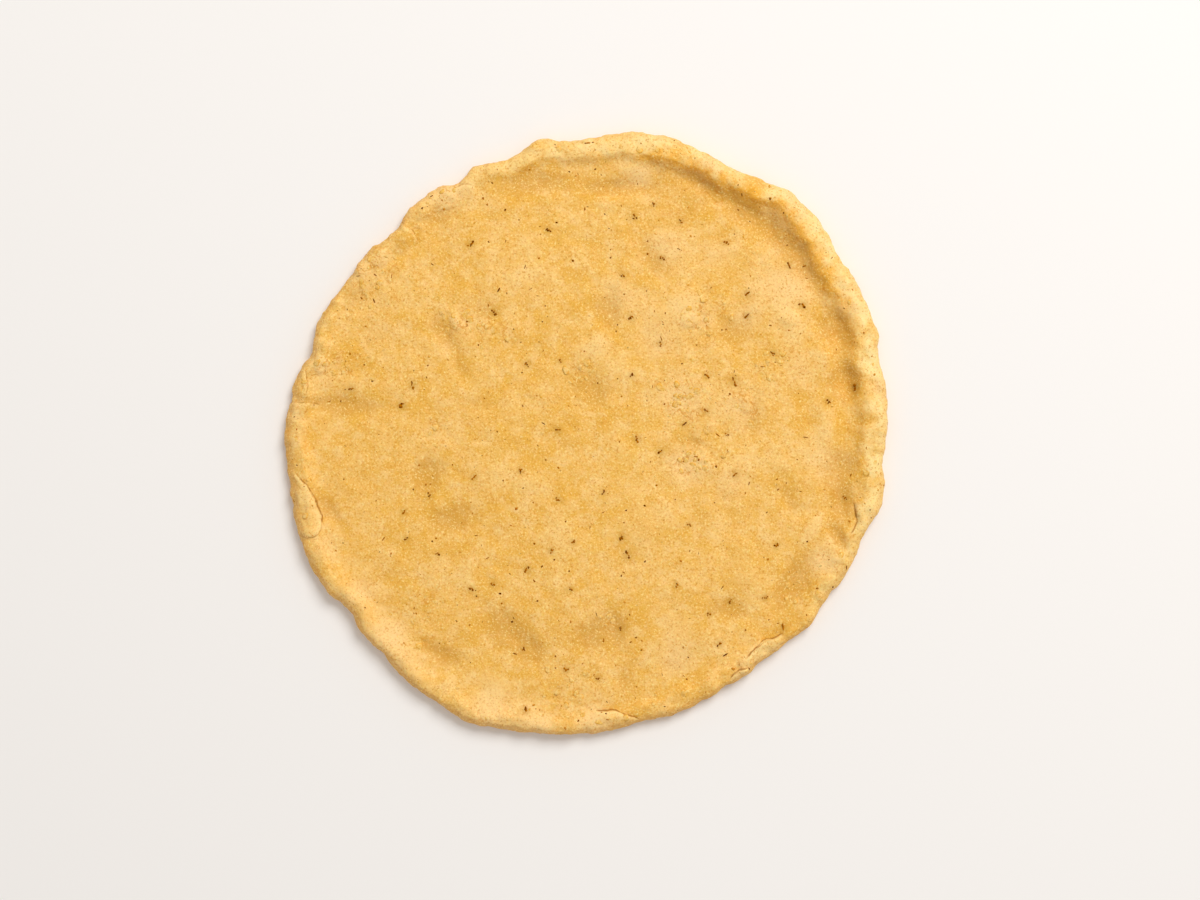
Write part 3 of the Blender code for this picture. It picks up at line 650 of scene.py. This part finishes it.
def cracks(points):
    """From 0 to 1: narrow winding lines, in some fields of the surface and not in others."""
    winding = CRACK_WINDING * noise_field(points, CRACK_SIZE / 3, seed=5)
    winding += noise_field(points, CRACK_SIZE, seed=31)
    line = np.clip(1 - np.abs(winding) / CRACK_HALF_WIDTH, 0, 1)
    field = noise_field(points, CRACK_FIELD_SIZE, seed=12)
    return line * ramp(field, *CRACK_FIELD_EDGE)


def patch_distance(points, x, y, radius):
    """How far each point is from the middle of a patch given in millimetres, in its radii."""
    return np.hypot(points[:, 0] - x * MM, points[:, 1] - y * MM) / (radius * MM)


def rough_patches(points):
    """How rough each point's surroundings are, from 0 to 1."""
    rough = np.zeros(len(points))
    for x, y, radius, strength in ROUGH_PATCHES:
        away = patch_distance(points, x, y, radius)
        rough = np.maximum(rough, strength * np.exp(-(away**2)))
    return rough


def tones(points):
    """From -1 to 1: how oily or how dry the dough is at each point."""
    tone = np.zeros(len(points))
    for x, y, radius, strength in TONES:
        tone += strength * np.exp(-(patch_distance(points, x, y, radius) ** 2))
    return np.clip(tone, -1, 1)


def sleek_patches(points):
    """How sleek the skin is at each point, from 0 to 1."""
    sleek = np.zeros(len(points))
    for x, y, radius in SLEEK_PATCHES:
        sleek = np.maximum(sleek, np.exp(-(patch_distance(points, x, y, radius) ** 4)))
    return sleek


def seams(points):
    """For each point its way to the nearest seam in metres, above 0 on the seam's left, and how far
    that seam stands open beside it, from 0 to 1."""
    nearest, opened = np.full(len(points), SEAM_REACH), np.zeros(len(points))
    for step, along, left in lap_places(points[:, 0], points[:, 1]):
        share = ramp(np.abs(along - 0.5), *SEAM_ENDS) * ramp(step, LOW_STEP, HIGH_STEP)
        nearer = (share > 0) & (np.abs(left) < np.abs(nearest))
        nearest[nearer], opened[nearer] = left[nearer], share[nearer]
    return nearest, opened


def fine_lift(points, edge):
    """Height of the fine relief along the normal at each point."""
    lift = np.zeros(len(points))
    for number, (size, height) in enumerate(LUMPS):
        lift += height * noise_field(points, size, seed=3 * number)
    lift *= 1 + (EDGE_LUMPS - 1) * edge
    lift -= CRACK_DEPTH * cracks(points)
    way, opened = seams(points)
    lift -= SEAM_DEPTH * opened * band(way, 0, SEAM_HALF_WIDTH)
    x, y = points[:, 0], points[:, 1]
    lift += laps(x, y, CRISP_LAP) - laps(x, y)
    lumpy = np.abs(noise_field(points, ROUGHNESS_SIZE, seed=60)) ** ROUGHNESS_STEEPNESS
    return lift + ROUGHNESS_HEIGHT * rough_patches(points) * (lumpy - ROUGHNESS_LEVEL)


def stains(points):
    """From 0 to 1: how much each point is stained by the herb flake beside it."""
    stain = np.zeros(len(points))
    for place, length, _, _ in flake_shapes():
        away = np.hypot(points[:, 0] - place.x, points[:, 1] - place.y)
        stain = np.maximum(stain, band(away, 0, STAIN_LENGTHS * length + STAIN_REACH))
    return stain


def grid_places(rings):
    """Ring number and turn in degrees of each point of a hexagon of rings, from the middle out."""
    ring = np.concatenate([[0]] + [np.full(6 * k, k) for k in range(1, rings + 1)])
    turn = np.concatenate([[0]] + [np.arange(6 * k) * 60 / k for k in range(1, rings + 1)])
    return ring, turn


def grid_faces(rings):
    """Triangles of a hexagon of rings, whose points run ring by ring from the middle."""
    def index(ring, step):
        return 0 if ring == 0 else 1 + 3 * ring * (ring - 1) + step % (6 * ring)

    faces = []
    for ring in range(1, rings + 1):
        for side in range(6):
            for step in range(ring):
                outer = side * ring + step
                inner = side * (ring - 1) + step
                corner = index(ring - 1, inner)
                faces.append((corner, index(ring, outer), index(ring, outer + 1)))
                if step < ring - 1:
                    faces.append((corner, index(ring, outer + 1), index(ring - 1, inner + 1)))
    return faces


def closed_mesh(points, rings):
    """The top's grid, closed by one flat face under it, and the normals of its points."""
    first_edge = len(points) - 6 * rings
    underside = tuple(range(len(points) - 1, first_edge - 1, -1))
    mesh = bpy.data.meshes.new("dough")
    mesh.from_pydata(points, [], grid_faces(rings) + [underside])
    normals = np.zeros(len(points) * 3)
    mesh.vertex_normals.foreach_get("vector", normals)
    return mesh, normals.reshape(-1, 3)


def colour_fields(points, turn, climb, normals):
    """What the dough's material reads at each point, by the names of the attributes."""
    facing = np.cos(np.radians(turn - PALE_TURN))
    tall = ramp(rim_sizes(turn)[0], LOW_RIM, HIGH_RIM) * (facing > 0)
    slope = climb / INNER_SLOPE_SHARE + SCALLOPS * noise_field(points, SCALLOP_SIZE, seed=90)
    # The crest is pale by drier dough all round, and by a painted highlight on the side that faces the light
    crest_paleness_and_highlight = LEAST_CREST_PALENESS + (1 - LEAST_CREST_PALENESS) * np.clip(facing, 0, 1)
    # Painted shade on the outer wall, strongest on the side turned from the light
    wall_shade_share = 0.5 + 0.5 * np.cos(np.radians(turn - WALL_SHADE_TURN))
    outside = ramp(normals[:, 2], LEVEL, STEEP) * (climb > WALL_START)
    crumbly_slope = SLOPE_ROUGHNESS * tall * band(slope, *CRUMBLY_BAND)
    way, opened = seams(points)
    return {
        # Painted shade on the rim's inner slope, at its foot and under its crest, where the rim is high on
        # the side towards the light
        "painted_warm_shade": tall * band(slope, *CREASE_BAND),
        "foot": tall * band(slope, *FOOT_BAND),
        "crest": ramp(slope, *CREST_START) * (1 - ramp(climb, *CREST_END)) * crest_paleness_and_highlight,
        "painted_wall_shade": outside * (LEAST_WALL_SHADE + (1 - LEAST_WALL_SHADE) * wall_shade_share),
        "rough": np.maximum(rough_patches(points), crumbly_slope),
        "tone": tones(points),
        "sleek": sleek_patches(points),
        "seam": way / MM,
        "opened": opened,
        "stain": stains(points),
    }


def make_dough():
    """The whole crust on the fine grid, with the attributes that its material reads."""
    ring, turn = grid_places(FINE_RINGS)
    share = ring / FINE_RINGS
    x, y, z = top_surface(share, turn, FINE_FLOOR_SHARE)
    x -= (x.max() + x.min()) / 2
    y -= (y.max() + y.min()) / 2
    points = np.stack([x, y, z], axis=1)
    mesh, normals = closed_mesh(points, FINE_RINGS)

    climb = (share - FINE_FLOOR_SHARE) / (1 - FINE_FLOOR_SHARE)
    lift = fine_lift(points, ramp(climb, 0, EDGE_LUMPS_FULL)) * ramp(points[:, 2], 0, GROUNDED)
    points += normals * lift[:, None]
    mesh.vertices.foreach_set("co", points.ravel())
    set_attribute(mesh, "lift", relief(x, y) * (climb < RELIEF_END) / MM)
    for name, values in colour_fields(points, turn, climb, normals).items():
        set_attribute(mesh, name, values)
    mesh.shade_smooth()
    return new_object("crust_dough", mesh)


def scatter(tree, count, seed):
    """Places and normals on the dough's top, drawn evenly over the round seen from above."""
    draw = random.Random(seed)
    found = []
    while len(found) < count:
        radius = SCATTER_RADIUS * math.sqrt(draw.random())
        around = draw.uniform(0, 2 * math.pi)
        start = Vector((radius * math.cos(around), radius * math.sin(around), ABOVE))
        place, normal, _, _ = tree.ray_cast(start, DOWN)
        if place is not None and place.z > SCATTER_HEIGHT:
            found.append((place, normal))
    return found


def mostly_short(draw, lengths):
    """A length between the two, more often near the shorter one."""
    return lengths[0] + (lengths[1] - lengths[0]) * draw.random() ** 2


def ball(subdivisions):
    """Points and triangles of an icosphere with a diameter of 1."""
    bm = bmesh.new()
    bmesh.ops.create_icosphere(bm, subdivisions=subdivisions, radius=0.5)
    points = np.array([vert.co for vert in bm.verts])
    faces = np.array([[vert.index for vert in face.verts] for face in bm.faces])
    bm.free()
    return points, faces


def bits_object(name, bits, sink, unevenness, subdivisions=1, seed=0):
    """One mesh of many little lumps. Each is laid flat on the dough at its place and turn, sunk by
    a share of its height, and made uneven by waves of its own."""
    draw = np.random.default_rng(seed)
    template, triangles = ball(subdivisions)
    points, faces, shades = [], [], []
    for place, normal, size, turn in bits:
        lean = Vector((0, 0, 1)).rotation_difference(normal).to_matrix()
        turned = np.array(lean @ Matrix.Rotation(turn, 3, "Z"))
        waves = template @ draw.normal(0, BIT_WAVES, (3, 3)) + draw.uniform(0, BIT_PHASES, 3)
        middle = np.array(place) - np.array(normal) * size[2] * sink
        faces.append(triangles + len(template) * len(faces))
        points.append(middle + (template * (1 + unevenness * np.sin(waves)) * size) @ turned.T)
        shades.append(np.full(len(template), draw.random()))
    mesh = bpy.data.meshes.new(name)
    mesh.from_pydata(np.concatenate(points), [], np.concatenate(faces))
    set_attribute(mesh, "shade", np.concatenate(shades))
    mesh.shade_smooth()
    return new_object(name, mesh)


def make_flakes(tree):
    """The herb flakes that the part has, at its places, each of ragged bits in a row."""
    draw = random.Random(SCATTER_SEED)
    bits = []
    for place, length, width, turn in flake_shapes():
        surface, normal, _, _ = tree.ray_cast(Vector((place.x, place.y, ABOVE)), DOWN)
        along = Vector((math.cos(turn), math.sin(turn), 0)) * length
        across = Vector((-math.sin(turn), math.cos(turn), 0)) * width
        ragged = 1.0 if length < SLIM_FLAKE * width else SLIM_RAGGEDNESS
        for shift in FLAKE_BITS:
            aside = ragged * draw.uniform(-BIT_STRAY_ACROSS, BIT_STRAY_ACROSS)
            shifted = shift + draw.uniform(-BIT_STRAY_ALONG, BIT_STRAY_ALONG)
            bit_length, bit_width = draw.uniform(*BIT_LENGTHS), draw.uniform(*BIT_WIDTHS)
            size = (length * bit_length, width * bit_width, FLAKE_HEIGHT)
            turned = turn + ragged * draw.uniform(-BIT_TURN, BIT_TURN)
            bits.append((surface + along * shifted + across * aside, normal, size, turned))
    look = {"subdivisions": 2, "seed": SCATTER_SEED}
    return bits_object("herb_flakes", bits, FLAKE_BIT_SINK, FLAKE_UNEVENNESS, **look)


def make_bits(tree, name, count, lengths, widths, height, sink, seed):
    """Small bits of one kind all over the dough."""
    draw = random.Random(seed + SIZE_SEED_STEP)
    bits = []
    for place, normal in scatter(tree, count, seed):
        length = mostly_short(draw, lengths)
        size = (length, length * draw.uniform(*widths), length * height)
        bits.append((place, normal, size, draw.uniform(0, math.pi)))
    return bits_object(name, bits, sink, UNEVENNESS, seed=seed)


def crumb_place(draw, on_patches):
    """A place seen from above, on one of the rough patches or just inside the outline."""
    if on_patches:
        weights = [radius**2 * strength for _, _, radius, strength in ROUGH_PATCHES]
        x, y, radius, _ = draw.choices(ROUGH_PATCHES, weights)[0]
        spread = CRUMB_SPREAD * radius
        return Vector((draw.gauss(x, spread), draw.gauss(y, spread), 0)) * MM
    turn = draw.uniform(0, 360)
    reach = float(outline_radius(np.array([turn]))[0]) - draw.uniform(*CRUMB_INSET)
    return Vector((math.cos(math.radians(turn)), math.sin(math.radians(turn)), 0)) * reach


def make_crumbs(tree):
    """Lumps of dough that stand out of the rough patches and of the rim, with painted golden shade round the
    foot.
    """
    draw = random.Random(SCATTER_SEED)
    bits = []
    while len(bits) < PATCH_CRUMBS + EDGE_CRUMBS:
        place = crumb_place(draw, len(bits) < PATCH_CRUMBS)
        surface, normal, _, _ = tree.ray_cast(place - DOWN * ABOVE, DOWN)
        if surface is not None and surface.z >= LOWEST_CRUMB:
            length = mostly_short(draw, CRUMB_LENGTH)
            size = (length, length * draw.uniform(*CRUMB_WIDTH), length * draw.uniform(*CRUMB_HEIGHT))
            bits.append((surface, normal, size, draw.uniform(0, math.pi)))
    look = {"subdivisions": 2, "seed": SCATTER_SEED}
    crumbs = bits_object("dough_crumbs", bits, CRUMB_SINK, UNEVENNESS, **look)
    set_attribute(crumbs.data, "tone", np.full(len(crumbs.data.vertices), CRUMB_TONE))
    # Painted golden shade round each crumb's foot, where it meets the dough
    rise = np.tile(ball(2)[0][:, 2], len(bits)) - CRUMB_SINK
    set_attribute(crumbs.data, "painted_warm_shade", ramp(rise, CRUMB_FOOT_SHADE, 0))
    return crumbs


class Nodes:
    """Short ways to add the nodes of one material."""

    def __init__(self, name):
        self.material = bpy.data.materials.new(name)
        self.material.use_nodes = True
        self.tree = self.material.node_tree
        self.shader = self.tree.nodes["Principled BSDF"]
        self.place = self.add("ShaderNodeTexCoord").outputs["Object"]

    def add(self, kind, inputs=None, **settings):
        node = self.tree.nodes.new(kind)
        for key, value in settings.items():
            setattr(node, key, value)
        for key, value in (inputs or {}).items():
            self.feed(node.inputs[key], value)
        return node

    def feed(self, socket, value):
        if isinstance(value, bpy.types.NodeSocket):
            self.tree.links.new(value, socket)
        else:
            socket.default_value = value

    def finish(self, **inputs):
        """Sets the shader's inputs, whose names are given with _ for each space."""
        for name, value in inputs.items():
            self.feed(self.shader.inputs[name.replace("_", " ")], value)
        return self.material

    def noise(self, size, detail=2.0, roughness=0.5, distortion=0.0, output="Fac"):
        inputs = {"Vector": self.place, "Scale": 1 / size, "Detail": detail}
        inputs |= {"Roughness": roughness, "Distortion": distortion}
        return self.add("ShaderNodeTexNoise", inputs).outputs[output]

    def cells(self, place, size, output):
        return self.add("ShaderNodeTexVoronoi", {"Vector": place, "Scale": 1 / size}).outputs[output]

    def crumble(self, size):
        """Lumps of about one size with winding edges: 0 in a lump's middle, about 1 between lumps."""
        inputs = {0: self.noise(size, output="Color"), 3: size}
        aside = self.add("ShaderNodeVectorMath", inputs, operation="SCALE").outputs[0]
        moved = self.add("ShaderNodeVectorMath", {0: self.place, 1: aside}).outputs[0]
        return self.cells(moved, size, "Distance")

    def attribute(self, name):
        return self.add("ShaderNodeAttribute", attribute_name=name).outputs["Fac"]

    def spread(self, value, low, high, to_low=0.0, to_high=1.0):
        """Value from low to high taken to the range to_low to to_high, eased at its ends."""
        inputs = {"Value": value, "From Min": low, "From Max": high}
        inputs |= {"To Min": to_low, "To Max": to_high}
        settings = {"interpolation_type": "SMOOTHSTEP"}
        return self.add("ShaderNodeMapRange", inputs, **settings).outputs["Result"]

    def blotches(self, kind, least=0.0, most=1.0):
        """Noise of one kind, from the least outside its blotches to the most inside them."""
        *form, start, full = kind
        return self.spread(self.noise(*form), start, full, least, most)

    def maths(self, operation, first, second=0.0):
        return self.add("ShaderNodeMath", {0: first, 1: second}, operation=operation).outputs[0]

    def times(self, first, second):
        return self.maths("MULTIPLY", first, second)

    def cover(self, colour, over, where, share=1.0):
        """A colour with another one over it where that lies, which covers it by the given share."""
        node = self.add("ShaderNodeMix", data_type="RGBA")
        self.feed(node.inputs["Factor"], self.times(where, share))
        self.feed(node.inputs[6], colour)
        self.feed(node.inputs[7], linear(over))
        return node.outputs[2]

    def bump(self, height, under=None, depth=0.001, strength=1.0):
        """The surface normal over a height from 0 to 1, with a depth in metres."""
        inputs = {"Height": height, "Distance": depth, "Strength": strength}
        if under is not None:
            inputs["Normal"] = under
        return self.add("ShaderNodeBump", inputs).outputs["Normal"]

    def groove(self, where, under, depth, strength):
        return self.bump(self.times(where, -1.0), under, depth, strength)


def tears(nodes):
    """From 0 to 1: short curved tears where the crumbly dough parted under the fingers, grooved and painted
    with shade.
    """
    winding = nodes.noise(TEAR_SIZE, distortion=0.4)
    off_line = nodes.maths("ABSOLUTE", nodes.maths("SUBTRACT", winding, 0.5))
    line = nodes.spread(off_line, TEAR_HALF_WIDTH, 0.0)
    rough = nodes.times(nodes.attribute("rough"), ROUGH_TEARS)
    field = nodes.maths("ADD", nodes.noise(TEAR_FIELD_SIZE), rough)
    deep = nodes.spread(nodes.attribute("rough"), 0.0, 0.7, LEAST_TEAR, 1.0)
    return nodes.times(nodes.times(line, nodes.spread(field, *TEAR_FIELD_EDGE)), deep)


def seam_lines(nodes):
    """From 0 to 1: the painted shade in a seam's crevice, and the painted highlight on the flap's lip on its
    left.
    """
    waver = nodes.times(nodes.maths("SUBTRACT", nodes.noise(SEAM_BEND), 0.5), SEAM_WAVER)
    way = nodes.maths("ADD", nodes.attribute("seam"), waver)
    opened = nodes.attribute("opened")
    line = nodes.spread(nodes.maths("ABSOLUTE", way), *SEAM_LINE, 1.0, 0.0)
    line = nodes.times(line, nodes.blotches(SEAM_BLOTCHES, 0.4))
    lip = nodes.times(nodes.spread(way, *LIP_HIGHLIGHT_START), nodes.spread(way, *LIP_HIGHLIGHT_END, 1.0, 0.0))
    return nodes.times(line, opened), nodes.times(lip, opened)


def dough_material():
    """Raw almond dough, mottled where oil came through, paler on its lumps and deeper in its dents, partly as
    painted light and shade, with more painted shade and highlights on its rim, seams, tears and gaps.
    """
    nodes = Nodes("almond_dough")
    lift, tone = nodes.attribute("lift"), nodes.attribute("tone")
    patches = nodes.blotches(PATCHES)
    crest = nodes.times(nodes.attribute("crest"), nodes.blotches(CREST_BLOTCHES, 0.3))
    seam, lip = seam_lines(nodes)
    grain = nodes.noise(GRAIN_SIZE, 3.0, 0.7)
    grainy = nodes.spread(nodes.attribute("sleek"), 0.0, 1.0, 1.0, SLEEK_GRAIN)
    light = nodes.times(nodes.spread(grain, *LIGHT_GRAINS), grainy)
    dark = nodes.times(nodes.spread(grain, *DARK_GRAINS), grainy)
    rubble = nodes.times(nodes.attribute("rough"), nodes.spread(patches, 0.2, 0.8))
    # The gaps between crumbly lumps, grooved and painted with shade
    between = nodes.times(nodes.spread(nodes.crumble(RUBBLE_SIZE), *RUBBLE_GAPS), rubble)
    tear = nodes.times(tears(nodes), grainy)

    # Each layer's colour, where it lies, and how far it covers the layers under it there
    layers = (
        (DOUGH, nodes.blotches(MOTTLE), 1.0),
        (PALE_DOUGH_AND_LIGHT, patches, 0.72),
        (GOLD_DOUGH, nodes.blotches(FRECKLES), 0.4),
        (GOLD_DOUGH, nodes.blotches(GOLD_SPOTS), 0.6),
        (GREY_DOUGH, nodes.blotches(SMUDGES), 0.32),
        # Swells paler and dents deeper: partly drier and oilier dough, partly painted light and shade
        (PALE_DOUGH_AND_LIGHT, nodes.spread(lift, *SWELL_LIFT), 0.7),
        (DEEP_DOUGH_AND_SHADE, nodes.spread(lift, *DENT_LIFT), 0.6),
        # The crest: partly drier dough, partly painted highlight
        (CREST_DOUGH_AND_HIGHLIGHT, crest, 1.0),
        (DRY_DOUGH, nodes.spread(tone, 0.0, 1.0), 0.85),
        (OILY_DOUGH, nodes.spread(tone, 0.0, -1.0), 0.9),
        # Painted shade on the rim's inner slope: deeper at its foot, and orange under the crest
        (DEEP_DOUGH_AND_SHADE, nodes.attribute("foot"), 0.2),
        (CREASE_SHADE, nodes.attribute("painted_warm_shade"), 0.8),
        # Painted highlight on a flap's lip
        (CREST_DOUGH_AND_HIGHLIGHT, lip, 0.5),
        # Painted shade on the outer wall
        (WALL_SHADE, nodes.attribute("painted_wall_shade"), 0.6),
        (GRAIN_LIGHT, light, 0.95),
        (GRAIN_DARK, dark, 0.95),
        # Painted shade in the gaps between crumbly lumps
        (GROOVE_SHADE, between, 0.25),
        (STAIN, nodes.attribute("stain"), 0.5),
        # Painted shade in the seams' crevices
        (SEAM_SHADE, seam, 0.85),
        # Painted shade in the tears
        (GROOVE_SHADE, tear, 0.6),
    )
    colour = linear(OILY_DOUGH)
    for over, where, share in layers:
        colour = nodes.cover(colour, over, where, share)

    kneaded = nodes.noise(KNEADED_SIZE, 4.0, 0.65)
    normal = nodes.bump(kneaded, depth=0.0004, strength=nodes.times(grainy, 0.45))
    normal = nodes.groove(tear, normal, depth=0.0003, strength=0.3)
    normal = nodes.groove(seam, normal, depth=0.0004, strength=0.3)
    normal = nodes.groove(between, normal, depth=0.0005, strength=0.2)
    fine = nodes.maths("ADD", grain, nodes.cells(nodes.place, CELL_SIZE, "Color"))
    normal = nodes.bump(fine, normal, depth=0.0002, strength=nodes.times(grainy, 0.65))
    return nodes.finish(
        Base_Color=colour,
        Roughness=nodes.blotches(GLOSS_BLOTCHES, 0.52, 0.78),
        Specular_IOR_Level=0.22,
        Subsurface_Weight=0.12,
        Subsurface_Radius=(1.0, 0.55, 0.25),
        Subsurface_Scale=0.0025,
        Normal=normal,
    )


def bit_material(name, dark, light, roughness):
    """One kind of bit, each of its own shade, with a fine uneven surface."""
    nodes = Nodes(name)
    fleck = nodes.spread(nodes.noise(BIT_GRAIN_SIZE * 2), 0.35, 0.65, -0.2, 0.2)
    shade = nodes.maths("ADD", nodes.attribute("shade"), fleck)
    gloss = nodes.noise(BIT_GRAIN_SIZE * 3)
    return nodes.finish(
        Base_Color=nodes.cover(linear(dark), light, shade),
        Roughness=nodes.spread(gloss, 0.3, 0.7, roughness - 0.1, roughness + 0.1),
        Specular_IOR_Level=0.0,
        Normal=nodes.bump(nodes.noise(BIT_GRAIN_SIZE), depth=BIT_GRAIN_SIZE / 3, strength=0.6),
    )


def make_floor():
    bpy.ops.mesh.primitive_plane_add(size=FLOOR_SIZE, location=(0, 0, 0))
    floor = bpy.context.object
    floor.name = "floor"
    nodes = Nodes("pale_floor")
    floor.data.materials.append(nodes.finish(Base_Color=linear(FLOOR), Roughness=0.8))
    floor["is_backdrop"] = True


def make_camera():
    camera = new_object("camera", bpy.data.cameras.new("camera"))
    camera.location = CAMERA_PLACE
    camera.data.lens = CAMERA_LENS_MM
    camera.data.sensor_width = CAMERA_SENSOR_MM
    camera.data.clip_start = 0.01
    bpy.context.scene.camera = camera


def make_key_light():
    rise, turn = math.radians(KEY_RISE), math.radians(KEY_TURN)
    away = Vector((math.cos(rise) * math.cos(turn), math.cos(rise) * math.sin(turn), math.sin(rise)))
    key = new_object("key", bpy.data.lights.new("key", "AREA"))
    key.data.shape = "DISK"
    key.data.size = KEY_SIZE
    key.data.energy = KEY_POWER
    key.location = away * KEY_DISTANCE
    key.rotation_euler = away.to_track_quat("Z", "Y").to_euler()


def make_sky():
    world = bpy.data.worlds.new("sky")
    world.use_nodes = True
    sky = world.node_tree.nodes["Background"]
    sky.inputs["Color"].default_value = SKY_COLOUR
    sky.inputs["Strength"].default_value = SKY_STRENGTH
    bpy.context.scene.world = world
    bpy.context.scene.view_settings.view_transform = "Standard"


def add_piece(piece, material):
    piece.data.materials.append(material)
    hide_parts(NODE)
    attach(piece, BODY)


def write_sizes():
    boxes = {"cad": CAD_BOX, "visual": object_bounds()}
    plain = {name: [[float(v) for v in corner] for corner in box] for name, box in boxes.items()}


make_camera()
make_key_light()
make_sky()
make_floor()

dough = make_dough()
bpy.context.view_layer.update()
surface = BVHTree.FromObject(dough, bpy.context.evaluated_depsgraph_get())
raw_dough = dough_material()
herb = bit_material("dried_herb", HERB_DARK, HERB_LIGHT, roughness=0.8)
almond = bit_material("almond", DOUGH, ALMOND, roughness=0.6)
skin = bit_material("almond_skin", SKIN, OILY_DOUGH, roughness=0.6)
materials = {"herb_specks": herb, "herb_shreds": herb, "almond_bits": almond, "skin_bits": skin}

add_piece(dough, raw_dough)
add_piece(make_crumbs(surface), raw_dough)
add_piece(make_flakes(surface), herb)
for name, form in SMALL_BITS.items():
    add_piece(make_bits(surface, name, *form), materials[name])

write_sizes()
